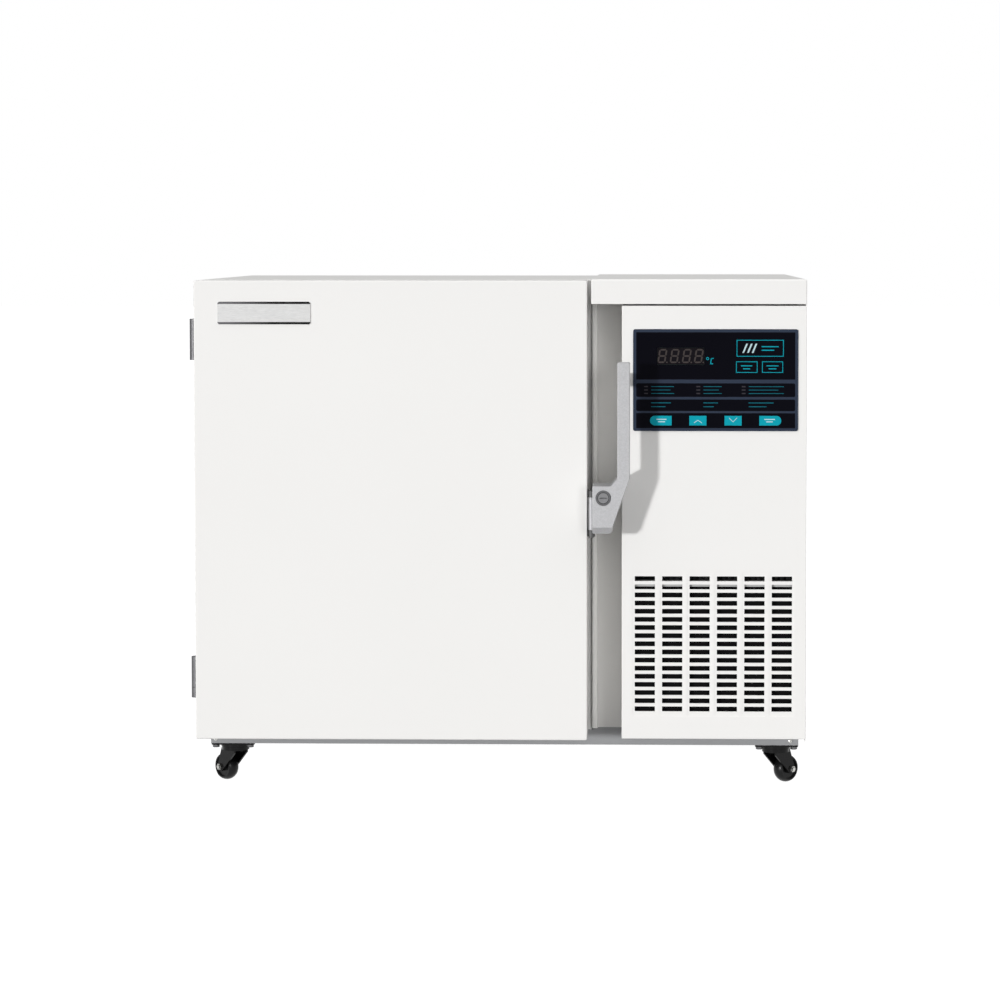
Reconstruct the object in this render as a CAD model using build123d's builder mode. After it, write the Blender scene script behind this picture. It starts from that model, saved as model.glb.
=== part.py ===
from build123d import *
import os
from math import atan2, cos, degrees, hypot, radians, sin

# Under-bench ultra low temperature freezer. Millimetres, +Z up, +X to the right of the front.
# The front faces -Y.
# The origin is at the centre of the whole object's footprint, on the floor.

os.makedirs("parts", exist_ok=True)

# Driving dimensions of the whole
cabinet_width = 868
cabinet_depth = 600
overall_height = 740
base_bottom = 61.6
base_height = 22.4
base_left_inset = 7
base_right_inset = 5
base_sheet = 2
base_flange = 74
sheet = 1.2
gap_small = 0.3
cut_over = 1

# Door, opening and insulation
door_side_inset = 5
door_thickness = 84
door_bottom_gap = 0.5
door_top_drop = 2
seal_gap = 11
compartment_width = 305
wall_side = 92
wall_top = 90
wall_bottom = 90
wall_back = 87
flange_width = 22
breaker_thickness = 4
liner_sheet = 1.5
plug_depth = 14
plug_clearance = 7
plug_draft = 6
plug_corner = 8
inner_panel_sheet = 3
corner_radius = 2.5
gasket_inset = 13
gasket_width = 17
gasket_base = 4
bulb_inset = 2.5
bulb_round = 2.5
ring_corner = 12
ring_inner_corner = 4
plate_left_offset = 34.3
plate_width = 131.7
plate_top_drop = 30
plate_height = 32
plate_thickness = 1.6
plate_clip = 2
plate_bevel = 1.2

# Hinge line
hinge_offset = 13.5
knuckle_radius = 6.5
knuckle_height = 15
knuckle_count = 4
hinge_pin_radius = 3
hinge_axis_inset = 5.5
hinge_low_rise = 45.5
hinge_high_drop = 116.5
leaf_sheet = 2.5
leaf_length = 28
leaf_edge_gap = 2.5
web_overlap = 1.5
running_clearance = 0.06

# Machine compartment
cap_seam = 0.6
cap_height = 35
deck_side_gap = 2
rib_width = 9
rib_proud = 9
rib_corner = 3.5
panel_width = 261
panel_top_gap = 2.5
deck_thickness = 3.3
return_depth = 14
slot_columns = 6
slot_rows = 17
slot_length = 28.6
slot_height = 6.9
slot_pitch_x = 38.8
slot_pitch_z = 11.6
slot_first_x = 18.5
slot_first_z = 126.6
field_margin_x = 2.9
field_margin_z = 7
field_press = 0.5

# Latch lever, lock and keeper
lever_reach = 55
lever_wall = 3.5
grip_thickness = 12.5
lever_top_drop = 113.2
lever_height = 240.5
lever_base_height = 67.6
lever_chamfer_rise = 9.5
bend_rise = 78.7
base_left_offset = 8.3
base_right_offset = 36
base_lean = 0.7
grip_left_offset = 43
grip_width = 17.8
grip_lean = 8
grip_slope_low = 2
grip_slope_high = 24
bend_round = 6
lever_corner = 2
lever_edge_round = 1.2
toe_chamfer = 8
door_face_gap = 1
pivot_offset = 6
pivot_depth = 6
pivot_knuckle_radius = 5
pivot_pin_radius = 2.5
bracket_knuckle_height = 9
bracket_sheet = 2
bracket_depth = 34
bracket_above_claw = 12
pin_head_height = 1.5
pin_head_rim = 1.2
lock_offset = 23.5
lock_rise = 50.7
bezel_radius = 10.8
bezel_proud = 1.2
barrel_radius = 9.6
barrel_length = 24
barrel_fit = 0.1
plug_radius = 8.2
keyway_length = 10
keyway_width = 1.8
keyway_depth = 6
cam_length = 12
cam_width = 8
cam_thickness = 2
cam_hub_radius = 5
claw_offset = 15
claw_width = 8
claw_rise = 12.7
claw_height = 22
claw_reach = 56
lip_thickness = 6.5
keeper_pin_radius = 4
keeper_offset = 7
keeper_depth = 45
hook_side_gap = 1.3
ear_thickness = 4
ear_gap = 3
ear_rim = 1.8
keeper_base_sheet = 3
keeper_base_width = 18.5
keeper_base_margin = 5
keeper_rib_gap = 1.5
bumper_width = 14
bumper_height = 19
bumper_drop = 16
bumper_edge_gap = 1

# Control panel
overlay_left_offset = 15.9
overlay_width = 232.8
overlay_top_drop = 35.4
overlay_height = 144.1
overlay_thickness = 1.6
overlay_corner = 3
overlay_ledge = 6
key_proud = 0.3
key_gap = 0.15
key_depth = 3.6
board_depth = 6
board_sheet = 1.6
board_margin = 4
dome_radius = 3
dome_gap = 0.7
low_row = (8, 21.6)
small_row = (81.9, 99.3)
buzzer_row = (104.7, 129.7)
display_row = (93.6, 118)
display_span = (34, 100.4)
buzzer_span = (145.3, 213)
small_left_span = (144.6, 176.1)
small_right_span = (181.2, 212.2)
mode_span = (24, 54.4)
up_span = (79.4, 103.6)
down_span = (129.1, 153.2)
enter_span = (178.2, 209.2)

# Casters
caster_plate = 63
caster_inset = 31.5
caster_hole_spacing = 50
caster_plate_sheet = 2.5
wheel_radius = 20
wheel_width = 18
wheel_trail = 22
fork_sheet = 2.5
fork_side_gap = 1
axle_radius = 3
axle_boss_radius = 7
bolt_head_radius = 5
bolt_head_height = 3
axle_end = 4
kingpin_radius = 5
kingpin_end = 2
kingpin_rim = 2
plate_nut_height = 4
caster_plate_corner = 4
collar_height = 6
collar_radius = 21
crown_height = 5
crown_inset = 1
hub_radius_wheel = 6
web_recess = 3
rim_radius_inner = 15
tread_drop = 3
tread_edge = 0.5

# Inside the chamber
inner_door_thickness = 22
inner_door_setback = 9
inner_door_gap = 4
inner_hinge_radius = 5
inner_pin_radius = 2.2
inner_axis_inset = 2
inner_axis_depth = 3
pull_width = 12
pull_height = 80
pull_corner = 4
pull_proud = 4
pull_inset = 20
tab_thickness = 3
tab_arm = 2
shelf_sheet = 1.5
shelf_flange = 18
shelf_end_gap = 6
shelf_side_gap = 0.5
shelf_rail_gap = 2
drain_pitch_x = 85
drain_pitch_y = 110
drain_columns = 4
drain_rows = 3
drain_length = 50
drain_width = 10
rail_height = 4
rail_width = 8
coil_size = 8
coil_levels = 8
coil_first = 26
coil_last = 55
coil_setback = 40

# Rear of the cabinet
port_radius = 12.5
port_offset = 23.5
port_level = 6.5
port_cap_radius = 20
port_cap_height = 9
port_cap_round = 2
vent_length = 70
vent_height = 5
vent_pitch_x = 90
vent_pitch_z = 14
vent_columns = 2
vent_rows = 30
vent_rise = 22.8
inlet_from_right = 70
inlet_above_deck = 60
inlet_width = 48
inlet_height = 28
inlet_depth = 30
inlet_rim_x = 6
inlet_rim_z = 5
inlet_rim_sheet = 2
inlet_corner = 3
socket_width = 21
socket_height = 17
socket_depth = 18
blade_width = 2
blade_height = 5
blade_length = 15
blade_spread = 6
blade_drop = 2
blade_rise = 3
rocker_width = 13
rocker_height = 19
rocker_pocket_depth = 14
rocker_axis_depth = 4
rocker_heel = 3
rocker_proud = 3.2
rocker_middle_proud = 1.6
rocker_end_inset = 1.2

# Machinery
compressor_radius = 72
compressor_height = 185
compressor_first = 296
compressor_second = 496
foot_half = 62
foot_margin = 12
foot_sheet = 3
mount_height = 14
mount_radius = 11
exchanger_width = 90
exchanger_front = 220
exchanger_length = 210
exchanger_height = 250
exchanger_top_drop = 45
exchanger_round = 12
drier_radius = 12
drier_length = 120
drier_chamfer = 5
electrical_width = 90
electrical_front = 200
electrical_back = 40
electrical_height = 220
electrical_top_drop = 85
pipe_radius = 4
pipe_bend = 14
pipe_rise = 40
fan_radius = 94
fan_gap = 4
condenser_depth = 48
condenser_front = 62
condenser_height = 240
filter_front = 4
filter_depth = 12
filter_top = 312
filter_side_gap = 8
filter_rail = 8
filter_mesh_setback = 4
filter_mesh = 2
condenser_side_gap = 14
condenser_border = 12
fin_count = 26
fin_depth = 5
fin_space = 0.6
shroud_depth = 30
motor_setback = 14
motor_length = 38
motor_radius = 36
motor_round = 6
arm_count = 3
arm_width = 8
arm_sheet = 3
arm_foot_radius = 4
arm_overreach = 8
shaft_radius = 4
shaft_length = 12
hub_radius = 24
hub_length = 22
hub_gap = 3
blade_count = 5
fan_blade_root = 38
fan_blade_tip = 44
fan_blade_sheet = 2
fan_blade_pitch = 25
fan_blade_sink = 2

# Places worked out from the driving dimensions
hinge_reach = hinge_offset + knuckle_radius
left_x = (hinge_reach - cabinet_width) / 2
right_x = left_x + cabinet_width
front_y = (lever_reach + bezel_proud - port_cap_height - cabinet_depth) / 2
back_y = front_y + cabinet_depth
base_top = base_bottom + base_height
box_right = right_x - compartment_width
door_right = box_right - door_side_inset
door_bottom = base_top + door_bottom_gap
door_top = overall_height - door_top_drop
door_back = front_y + door_thickness
seal_y = door_back + seal_gap
box_top = door_top
mouth_left = left_x + wall_side
mouth_right = box_right - wall_side
mouth_bottom = base_top + wall_bottom
mouth_top = box_top - wall_top
chamber_back = back_y - wall_back
cap_left = box_right + cap_seam
cap_bottom = overall_height - cap_height
panel_left = right_x - panel_width
deck_top = base_top + deck_thickness
panel_bottom = deck_top
panel_top = cap_bottom - panel_top_gap
coil_pitch = (mouth_top - mouth_bottom - coil_first - coil_last - coil_size) / (coil_levels - 1)


def front_plane(y):
    """Plane facing the front, X to the right and Z up."""
    return Plane(origin=(0, y, 0), x_dir=(1, 0, 0), z_dir=(0, -1, 0))


def side_plane(x):
    """Plane facing the right side, Y to the back and Z up."""
    return Plane(origin=(x, 0, 0), x_dir=(0, 1, 0), z_dir=(1, 0, 0))


def block(x_span, y_span, z_span, mode=Mode.ADD):
    """Rectangular block between two limits on each axis."""
    size = [span[1] - span[0] for span in (x_span, y_span, z_span)]
    centre = [(span[0] + span[1]) / 2 for span in (x_span, y_span, z_span)]
    with Locations(tuple(centre)):
        Box(*size, mode=mode)


def spans_rectangle(across, along, mode=Mode.ADD):
    """Rectangle in the current sketch between two limits on each axis."""
    with Locations(((across[0] + across[1]) / 2, (along[0] + along[1]) / 2)):
        Rectangle(across[1] - across[0], along[1] - along[0], mode=mode)


def save(piece, name):
    """Label a finished piece and write it."""
    piece.part.label = name
    export_step(piece.part, f"parts/{name}.step")


def lifted(span, start):
    """Span counted from a start value."""
    return (start + span[0], start + span[1])


port_x = (mouth_left + mouth_right) / 2 + port_offset
port_z = mouth_bottom + coil_first + port_level * coil_pitch + coil_size / 2

# Insulated cabinet: outer shell of folded sheet with a narrow front flange
with BuildPart() as cabinet_shell:
    block((left_x, box_right), (seal_y, back_y), (base_top, box_top))
    fillet(cabinet_shell.edges().filter_by(Axis.Z), corner_radius)
    block(
        (left_x + sheet, box_right - sheet),
        (seal_y + sheet, back_y - sheet),
        (base_top + sheet, box_top - sheet),
        mode=Mode.SUBTRACT,
    )
    block(
        (left_x + flange_width, box_right - flange_width),
        (seal_y - sheet, seal_y + 2 * sheet),
        (base_top + flange_width, box_top - flange_width),
        mode=Mode.SUBTRACT,
    )
    with BuildSketch(front_plane(back_y)):
        with Locations((port_x, port_z)):
            Circle(port_radius)
    extrude(amount=2 * sheet, mode=Mode.SUBTRACT)
save(cabinet_shell, "cabinet_shell")

# Liner: the chamber's own walls, with a ledge on each side that carries the shelf
shelf_z = (mouth_bottom + mouth_top) / 2
shelf_front = seal_y + inner_door_setback + inner_door_thickness + shelf_end_gap
shelf_back = chamber_back - shelf_end_gap
rail_top = shelf_z - shelf_sheet / 2
rail_z = (rail_top - rail_height, rail_top)
liner_front = seal_y + breaker_thickness
with BuildPart() as cabinet_liner:
    block(
        (mouth_left - liner_sheet, mouth_right + liner_sheet),
        (liner_front, chamber_back + liner_sheet),
        (mouth_bottom - liner_sheet, mouth_top + liner_sheet),
    )
    block(
        (mouth_left, mouth_right),
        (liner_front - cut_over, chamber_back),
        (mouth_bottom, mouth_top),
        mode=Mode.SUBTRACT,
    )
    block((mouth_left, mouth_left + rail_width), (shelf_front, shelf_back), rail_z)
    block((mouth_right - rail_width, mouth_right), (shelf_front, shelf_back), rail_z)
    with BuildSketch(front_plane(chamber_back + 2 * liner_sheet)):
        with Locations((port_x, port_z)):
            Circle(port_radius)
    extrude(amount=3 * liner_sheet, mode=Mode.SUBTRACT)
save(cabinet_liner, "cabinet_liner")

# Evaporator: a serpentine of flat tube round the two sides and the back of the liner
coil_front = seal_y + coil_setback
coil_x = (mouth_left - liner_sheet - coil_size, mouth_right + liner_sheet + coil_size)
coil_y = (coil_front, chamber_back + liner_sheet + coil_size)


def coil_run(z):
    """One level of the evaporator, a U in plan."""
    with BuildSketch(Plane.XY.offset(z)) as level_plan:
        spans_rectangle(coil_x, coil_y)
        spans_rectangle(
            (mouth_left - liner_sheet, mouth_right + liner_sheet),
            (coil_front - cut_over, chamber_back + liner_sheet),
            mode=Mode.SUBTRACT,
        )
    extrude(level_plan.sketch, amount=coil_size)


def coil_riser(level):
    """Short riser that joins a level to the next one, by turns at the right and at the left end."""
    z = mouth_bottom + coil_first + level * coil_pitch
    x = coil_x[0] if level % 2 else coil_x[1] - coil_size
    block((x, x + coil_size), (coil_front, coil_front + coil_size), (z + coil_size, z + coil_pitch))


with BuildPart() as evaporator_coil:
    for level in range(coil_levels):
        coil_run(mouth_bottom + coil_first + level * coil_pitch)
    for level in range(coil_levels - 1):
        coil_riser(level)
save(evaporator_coil, "evaporator_coil")

# Foam that fills the space between shell and liner, round the evaporator and the access port
with BuildPart() as cabinet_insulation:
    block(
        (left_x + sheet, box_right - sheet),
        (seal_y + sheet, back_y - sheet),
        (base_top + sheet, box_top - sheet),
    )
    block(
        (left_x + flange_width, box_right - flange_width),
        (seal_y, seal_y + breaker_thickness),
        (base_top + flange_width, box_top - flange_width),
        mode=Mode.SUBTRACT,
    )
    block(
        (mouth_left - liner_sheet, mouth_right + liner_sheet),
        (seal_y, chamber_back + liner_sheet),
        (mouth_bottom - liner_sheet, mouth_top + liner_sheet),
        mode=Mode.SUBTRACT,
    )
    add(evaporator_coil.part, mode=Mode.SUBTRACT)
    with BuildSketch(front_plane(back_y)):
        with Locations((port_x, port_z)):
            Circle(port_radius)
    extrude(amount=wall_back + sheet, mode=Mode.SUBTRACT)
save(cabinet_insulation, "cabinet_insulation")

# Inner door places: two doors, one above and one below the shelf
inner_left = mouth_left + inner_door_gap
inner_right = mouth_right - inner_door_gap
inner_front = seal_y + inner_door_setback
inner_axis_x = inner_left + inner_axis_inset
inner_axis_y = inner_front + inner_axis_depth
inner_spans = {
    "lower": (mouth_bottom + inner_door_gap, shelf_z - inner_door_gap),
    "upper": (shelf_z + inner_door_gap, mouth_top - inner_door_gap),
}

# Breaker frame: the plastic frame round the mouth, with the tabs that hold the inner doors' pins
with BuildPart() as breaker_frame:
    with BuildSketch(front_plane(seal_y)):
        spans_rectangle(
            (left_x + flange_width, box_right - flange_width),
            (base_top + flange_width, box_top - flange_width),
        )
        spans_rectangle((mouth_left, mouth_right), (mouth_bottom, mouth_top), mode=Mode.SUBTRACT)
    extrude(amount=-breaker_thickness)
    mouth_edges = breaker_frame.edges().filter_by(
        lambda edge: edge.center().Y < seal_y + breaker_thickness / 2
        and mouth_left - cut_over < edge.center().X < mouth_right + cut_over
        and mouth_bottom - cut_over < edge.center().Z < mouth_top + cut_over
    )
    fillet(mouth_edges, breaker_thickness / 2)
    for low, high in inner_spans.values():
        for z in (low + tab_thickness / 2, high - tab_thickness / 2):
            with BuildSketch(Plane.XY.offset(z - tab_thickness / 2)):
                spans_rectangle(
                    (mouth_left, mouth_left + tab_arm),
                    (seal_y + breaker_thickness / 2, inner_axis_y),
                )
                spans_rectangle(
                    (mouth_left, inner_axis_x),
                    (inner_axis_y - inner_hinge_radius, inner_axis_y + inner_hinge_radius),
                )
                with Locations((inner_axis_x, inner_axis_y)):
                    Circle(inner_hinge_radius)
            extrude(amount=tab_thickness)
    with BuildSketch(Plane.XY.offset(mouth_bottom)):
        with Locations((inner_axis_x, inner_axis_y)):
            Circle(inner_pin_radius + running_clearance)
    extrude(amount=mouth_top - mouth_bottom, mode=Mode.SUBTRACT)
save(breaker_frame, "breaker_frame")


def build_inner_door(name):
    """Insulated inner door with a hinge barrel on its left edge and a pull near its free edge."""
    low, high = inner_spans[name]
    low_edge = low + tab_thickness + gap_small
    high_edge = high - tab_thickness - gap_small
    with BuildPart() as inner_door:
        block(
            (inner_axis_x, inner_right),
            (inner_front, inner_front + inner_door_thickness),
            (low, high),
        )
        fillet(inner_door.edges().filter_by(Axis.Y), corner_radius)
        for notch in ((low - cut_over, low_edge), (high_edge, high + cut_over)):
            block(
                (inner_left - cut_over, inner_axis_x + inner_hinge_radius + cut_over),
                (inner_front - cut_over, inner_axis_y + inner_hinge_radius + cut_over),
                notch,
                mode=Mode.SUBTRACT,
            )
        with BuildSketch(Plane.XY.offset(low_edge)):
            with Locations((inner_axis_x, inner_axis_y)):
                Circle(inner_hinge_radius)
        extrude(amount=high_edge - low_edge)
        with BuildSketch(Plane.XY.offset(low)):
            with Locations((inner_axis_x, inner_axis_y)):
                Circle(inner_pin_radius)
        extrude(amount=high - low)
        with BuildSketch(front_plane(inner_front)):
            with Locations((inner_right - pull_inset, (low + high) / 2)):
                RectangleRounded(pull_width, pull_height, pull_corner)
        extrude(amount=pull_proud)
    save(inner_door, f"inner_door_{name}")


for level_name in inner_spans:
    build_inner_door(level_name)

# Shelf: folded sheet with a down-turned edge at front and back and drain slots
with BuildPart() as shelf:
    shelf_x = (mouth_left + shelf_side_gap, mouth_right - shelf_side_gap)
    block(shelf_x, (shelf_front, shelf_back), (rail_top, rail_top + shelf_sheet))
    flange_x = (mouth_left + rail_width + shelf_rail_gap, mouth_right - rail_width - shelf_rail_gap)
    block(flange_x, (shelf_front, shelf_front + shelf_sheet), (rail_top - shelf_flange, rail_top))
    block(flange_x, (shelf_back - shelf_sheet, shelf_back), (rail_top - shelf_flange, rail_top))
    with BuildSketch(Plane.XY.offset(rail_top)):
        with Locations(((mouth_left + mouth_right) / 2, (shelf_front + shelf_back) / 2)):
            with GridLocations(drain_pitch_x, drain_pitch_y, drain_columns, drain_rows):
                SlotOverall(drain_length, drain_width)
    extrude(amount=shelf_sheet, mode=Mode.SUBTRACT)
save(shelf, "shelf")

# Access port plug through the back wall
with BuildPart() as access_port_plug:
    with BuildSketch(front_plane(back_y + port_cap_height)):
        with Locations((port_x, port_z)):
            Circle(port_cap_radius)
    extrude(amount=port_cap_height)
    fillet(access_port_plug.edges().group_by(Axis.Y)[-1], port_cap_round)
    with BuildSketch(front_plane(back_y)):
        with Locations((port_x, port_z)):
            Circle(port_radius - gap_small)
    extrude(amount=wall_back)
save(access_port_plug, "access_port_plug")

# Base frame: deck, skirt and the inward flange that the casters bolt to
base_left = left_x + base_left_inset
base_right = right_x - base_right_inset
base_front = seal_y
base_back = back_y - base_right_inset
with BuildPart() as base_frame:
    block((base_left, base_right), (base_front, base_back), (base_bottom, base_top))
    block(
        (base_left + base_sheet, base_right - base_sheet),
        (base_front + base_sheet, base_back - base_sheet),
        (base_bottom + base_sheet, base_top - base_sheet),
        mode=Mode.SUBTRACT,
    )
    block(
        (base_left + base_flange, base_right - base_flange),
        (base_front + base_flange, base_back - base_flange),
        (base_bottom - base_sheet, base_bottom + 2 * base_sheet),
        mode=Mode.SUBTRACT,
    )
    block((box_right + deck_side_gap, right_x - sheet), (base_front, back_y - sheet), (base_top, deck_top))
save(base_frame, "base_frame")

# Top cap: a lid with a skirt over the machine compartment
with BuildPart() as top_cap:
    block((cap_left, right_x), (front_y, back_y), (cap_bottom, overall_height))
    fillet(top_cap.edges().group_by(Axis.Z)[-1], corner_radius)
    fillet(top_cap.edges().filter_by(Axis.Z), corner_radius / 2)
    block(
        (cap_left + sheet, right_x - sheet),
        (front_y + sheet, back_y - sheet),
        (cap_bottom - cut_over, overall_height - sheet),
        mode=Mode.SUBTRACT,
    )
save(top_cap, "top_cap")

# Machine front panel: folded sheet with pressed fields, cooling slots and the window for the controls
overlay_left = panel_left + overlay_left_offset
overlay_right = overlay_left + overlay_width
overlay_top = cap_bottom - overlay_top_drop
overlay_bottom = overlay_top - overlay_height
window_x = (overlay_left + overlay_ledge, overlay_right - overlay_ledge)
window_z = (overlay_bottom + overlay_ledge, overlay_top - overlay_ledge)
slots_width = (slot_columns - 1) * slot_pitch_x + slot_length
slots_height = (slot_rows - 1) * slot_pitch_z + slot_height
slots_x = panel_left + slot_first_x + slots_width / 2
slots_z = slot_first_z + slots_height / 2
deep_return = seal_y + sheet + return_depth
with BuildPart() as front_panel:
    block((panel_left, right_x), (front_y, front_y + sheet), (panel_bottom, panel_top))
    fillet(front_panel.edges().group_by(Axis.Y)[0], sheet * 0.7)
    block((panel_left, panel_left + sheet), (front_y + sheet, deep_return), (panel_bottom, panel_top))
    block(
        (panel_left + sheet, right_x - 2 * sheet),
        (front_y + sheet, deep_return),
        (panel_bottom, panel_bottom + sheet),
    )
    block(
        (right_x - 2 * sheet, right_x - sheet),
        (front_y + sheet, front_y + return_depth),
        (panel_bottom, panel_top),
    )
    block(
        (panel_left + sheet, right_x - 2 * sheet),
        (front_y + sheet, front_y + return_depth),
        (panel_top - sheet, panel_top),
    )
    field_size = (slot_length + 2 * field_margin_x, slots_height + 2 * field_margin_z)
    with BuildSketch(front_plane(front_y + sheet)):
        with Locations((slots_x, slots_z)):
            with GridLocations(slot_pitch_x, 1, slot_columns, 1):
                Rectangle(*field_size)
    extrude(amount=-field_press)
    with BuildSketch(front_plane(front_y)):
        with Locations((slots_x, slots_z)):
            with GridLocations(slot_pitch_x, 1, slot_columns, 1):
                Rectangle(*field_size)
    extrude(amount=-field_press, mode=Mode.SUBTRACT)
    with BuildSketch(front_plane(front_y)):
        with Locations((slots_x, slots_z)):
            with GridLocations(slot_pitch_x, slot_pitch_z, slot_columns, slot_rows):
                Rectangle(slot_length, slot_height)
    extrude(amount=-2 * sheet, mode=Mode.SUBTRACT)
    with BuildSketch(front_plane(front_y)):
        spans_rectangle(window_x, window_z)
    extrude(amount=-2 * sheet, mode=Mode.SUBTRACT)
save(front_panel, "front_panel")

# Right side panel with an inward fold at its top, bottom and back
side_front = front_y + sheet
with BuildPart() as right_side_panel:
    block((right_x - sheet, right_x), (side_front, back_y - sheet), (base_top, cap_bottom))
    block(
        (right_x - return_depth, right_x - sheet),
        (front_y + return_depth, back_y - sheet),
        (cap_bottom - sheet, cap_bottom),
    )
save(right_side_panel, "right_side_panel")

# Recess plate between the door and the machine panel: a rounded jamb rib and a flat floor
with BuildPart() as recess_plate:
    with BuildSketch(Plane.XY.offset(deck_top)):
        spans_rectangle((box_right, panel_left), (seal_y, seal_y + return_depth))
        spans_rectangle(
            (box_right + sheet, panel_left - sheet),
            (seal_y + sheet, seal_y + return_depth + cut_over),
            mode=Mode.SUBTRACT,
        )
        with Locations((box_right + rib_width / 2, seal_y - rib_proud / 2 + sheet / 2)):
            RectangleRounded(rib_width, rib_proud + sheet, rib_corner)
        spans_rectangle((box_right, box_right + rib_width), (seal_y - rib_proud / 2, seal_y))
    extrude(amount=cap_bottom - deck_top)
save(recess_plate, "recess_plate")

# Back panel of the machine compartment with vent slots and the mains cut-out
inlet_x = right_x - inlet_from_right
inlet_z = deck_top + inlet_above_deck
with BuildPart() as back_panel:
    block((box_right, right_x), (back_y - sheet, back_y), (base_top, cap_bottom))
    with BuildSketch(front_plane(back_y)):
        with Locations(((box_right + right_x) / 2, (base_top + cap_bottom) / 2 + vent_rise)):
            with GridLocations(vent_pitch_x, vent_pitch_z, vent_columns, vent_rows):
                SlotOverall(vent_length, vent_height)
    extrude(amount=2 * sheet, mode=Mode.SUBTRACT)
    with BuildSketch(front_plane(back_y)):
        with Locations((inlet_x, inlet_z)):
            Rectangle(inlet_width, inlet_height)
    extrude(amount=2 * sheet, mode=Mode.SUBTRACT)
save(back_panel, "back_panel")

# Mains inlet with its recess and blades, beside the opening for the power rocker
inlet_face = back_y + inlet_rim_sheet
socket_x = inlet_x - inlet_width / 4
rocker_x = inlet_x + inlet_width / 4
blade_places = (
    (socket_x - blade_spread, inlet_z - blade_drop),
    (socket_x + blade_spread, inlet_z - blade_drop),
    (socket_x, inlet_z + blade_rise),
)
with BuildPart() as mains_inlet:
    with BuildSketch(front_plane(inlet_face)):
        with Locations((inlet_x, inlet_z)):
            RectangleRounded(inlet_width + 2 * inlet_rim_x, inlet_height + 2 * inlet_rim_z, inlet_corner)
    extrude(amount=inlet_rim_sheet)
    with BuildSketch(front_plane(back_y)):
        with Locations((inlet_x, inlet_z)):
            Rectangle(inlet_width - 2 * gap_small, inlet_height - 2 * gap_small)
    extrude(amount=inlet_depth)
    with BuildSketch(front_plane(inlet_face)):
        with Locations((socket_x, inlet_z)):
            RectangleRounded(socket_width, socket_height, inlet_corner)
    extrude(amount=inlet_rim_sheet + socket_depth, mode=Mode.SUBTRACT)
    with BuildSketch(front_plane(back_y - socket_depth)):
        with Locations(*blade_places):
            Rectangle(blade_width, blade_height)
    extrude(amount=-blade_length)
    with BuildSketch(front_plane(inlet_face)):
        with Locations((rocker_x, inlet_z)):
            Rectangle(rocker_width + 2 * gap_small, rocker_height + 2 * gap_small)
    extrude(amount=inlet_rim_sheet + rocker_pocket_depth, mode=Mode.SUBTRACT)
save(mains_inlet, "mains_inlet")

# Power rocker: a shallow V that tips about its middle
rocker_axis_y = back_y - rocker_axis_depth
rocker_heel_y = rocker_axis_y - rocker_heel
rocker_end = rocker_height / 2 - rocker_end_inset
with BuildPart() as power_rocker:
    with BuildSketch(side_plane(rocker_x - rocker_width / 2)):
        with BuildLine():
            Polyline(
                (rocker_heel_y, inlet_z - rocker_heel),
                (rocker_heel_y, inlet_z + rocker_heel),
                (back_y - rocker_middle_proud, inlet_z + rocker_end),
                (back_y + rocker_proud, inlet_z + rocker_end - rocker_end_inset / 2),
                (back_y + rocker_middle_proud, inlet_z),
                (back_y + rocker_end_inset, inlet_z - rocker_end),
                (back_y - rocker_heel, inlet_z - rocker_end),
                close=True,
            )
        make_face()
    extrude(amount=rocker_width)
save(power_rocker, "power_rocker")

# Door: folded outer skin, open at the back
with BuildPart() as door_skin:
    block((left_x, door_right), (front_y, door_back), (door_bottom, door_top))
    fillet(door_skin.edges().filter_by(Axis.Y), corner_radius)
    fillet(door_skin.edges().group_by(Axis.Y)[0], corner_radius * 0.6)
    block(
        (left_x + sheet, door_right - sheet),
        (front_y + sheet, door_back + cut_over),
        (door_bottom + sheet, door_top - sheet),
        mode=Mode.SUBTRACT,
    )
save(door_skin, "door_skin")

plug_x = (mouth_left + plug_clearance, mouth_right - plug_clearance)
plug_z = (mouth_bottom + plug_clearance, mouth_top - plug_clearance)


def plug_loft(root_y, tip_y):
    """Tapered plug of the door between two depths."""
    width = plug_x[1] - plug_x[0]
    height = plug_z[1] - plug_z[0]
    centre = ((plug_x[0] + plug_x[1]) / 2, (plug_z[0] + plug_z[1]) / 2)
    with BuildSketch(front_plane(root_y)) as root_outline:
        with Locations(centre):
            RectangleRounded(width, height, plug_corner)
    with BuildSketch(front_plane(tip_y)) as tip_outline:
        with Locations(centre):
            RectangleRounded(width - 2 * plug_draft, height - 2 * plug_draft, plug_corner)
    loft([root_outline.sketch, tip_outline.sketch])


# Door inner panel: a plate with a tapered plug that reaches into the mouth
with BuildPart() as door_inner_panel:
    plug_loft(door_back, door_back + plug_depth)
    block(
        (left_x + sheet, door_right - sheet),
        (door_back - inner_panel_sheet, door_back),
        (door_bottom + sheet, door_top - sheet),
    )
save(door_inner_panel, "door_inner_panel")

# Door foam
with BuildPart() as door_foam:
    block(
        (left_x + sheet, door_right - sheet),
        (front_y + sheet, door_back - inner_panel_sheet),
        (door_bottom + sheet, door_top - sheet),
    )
save(door_foam, "door_foam")

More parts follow.
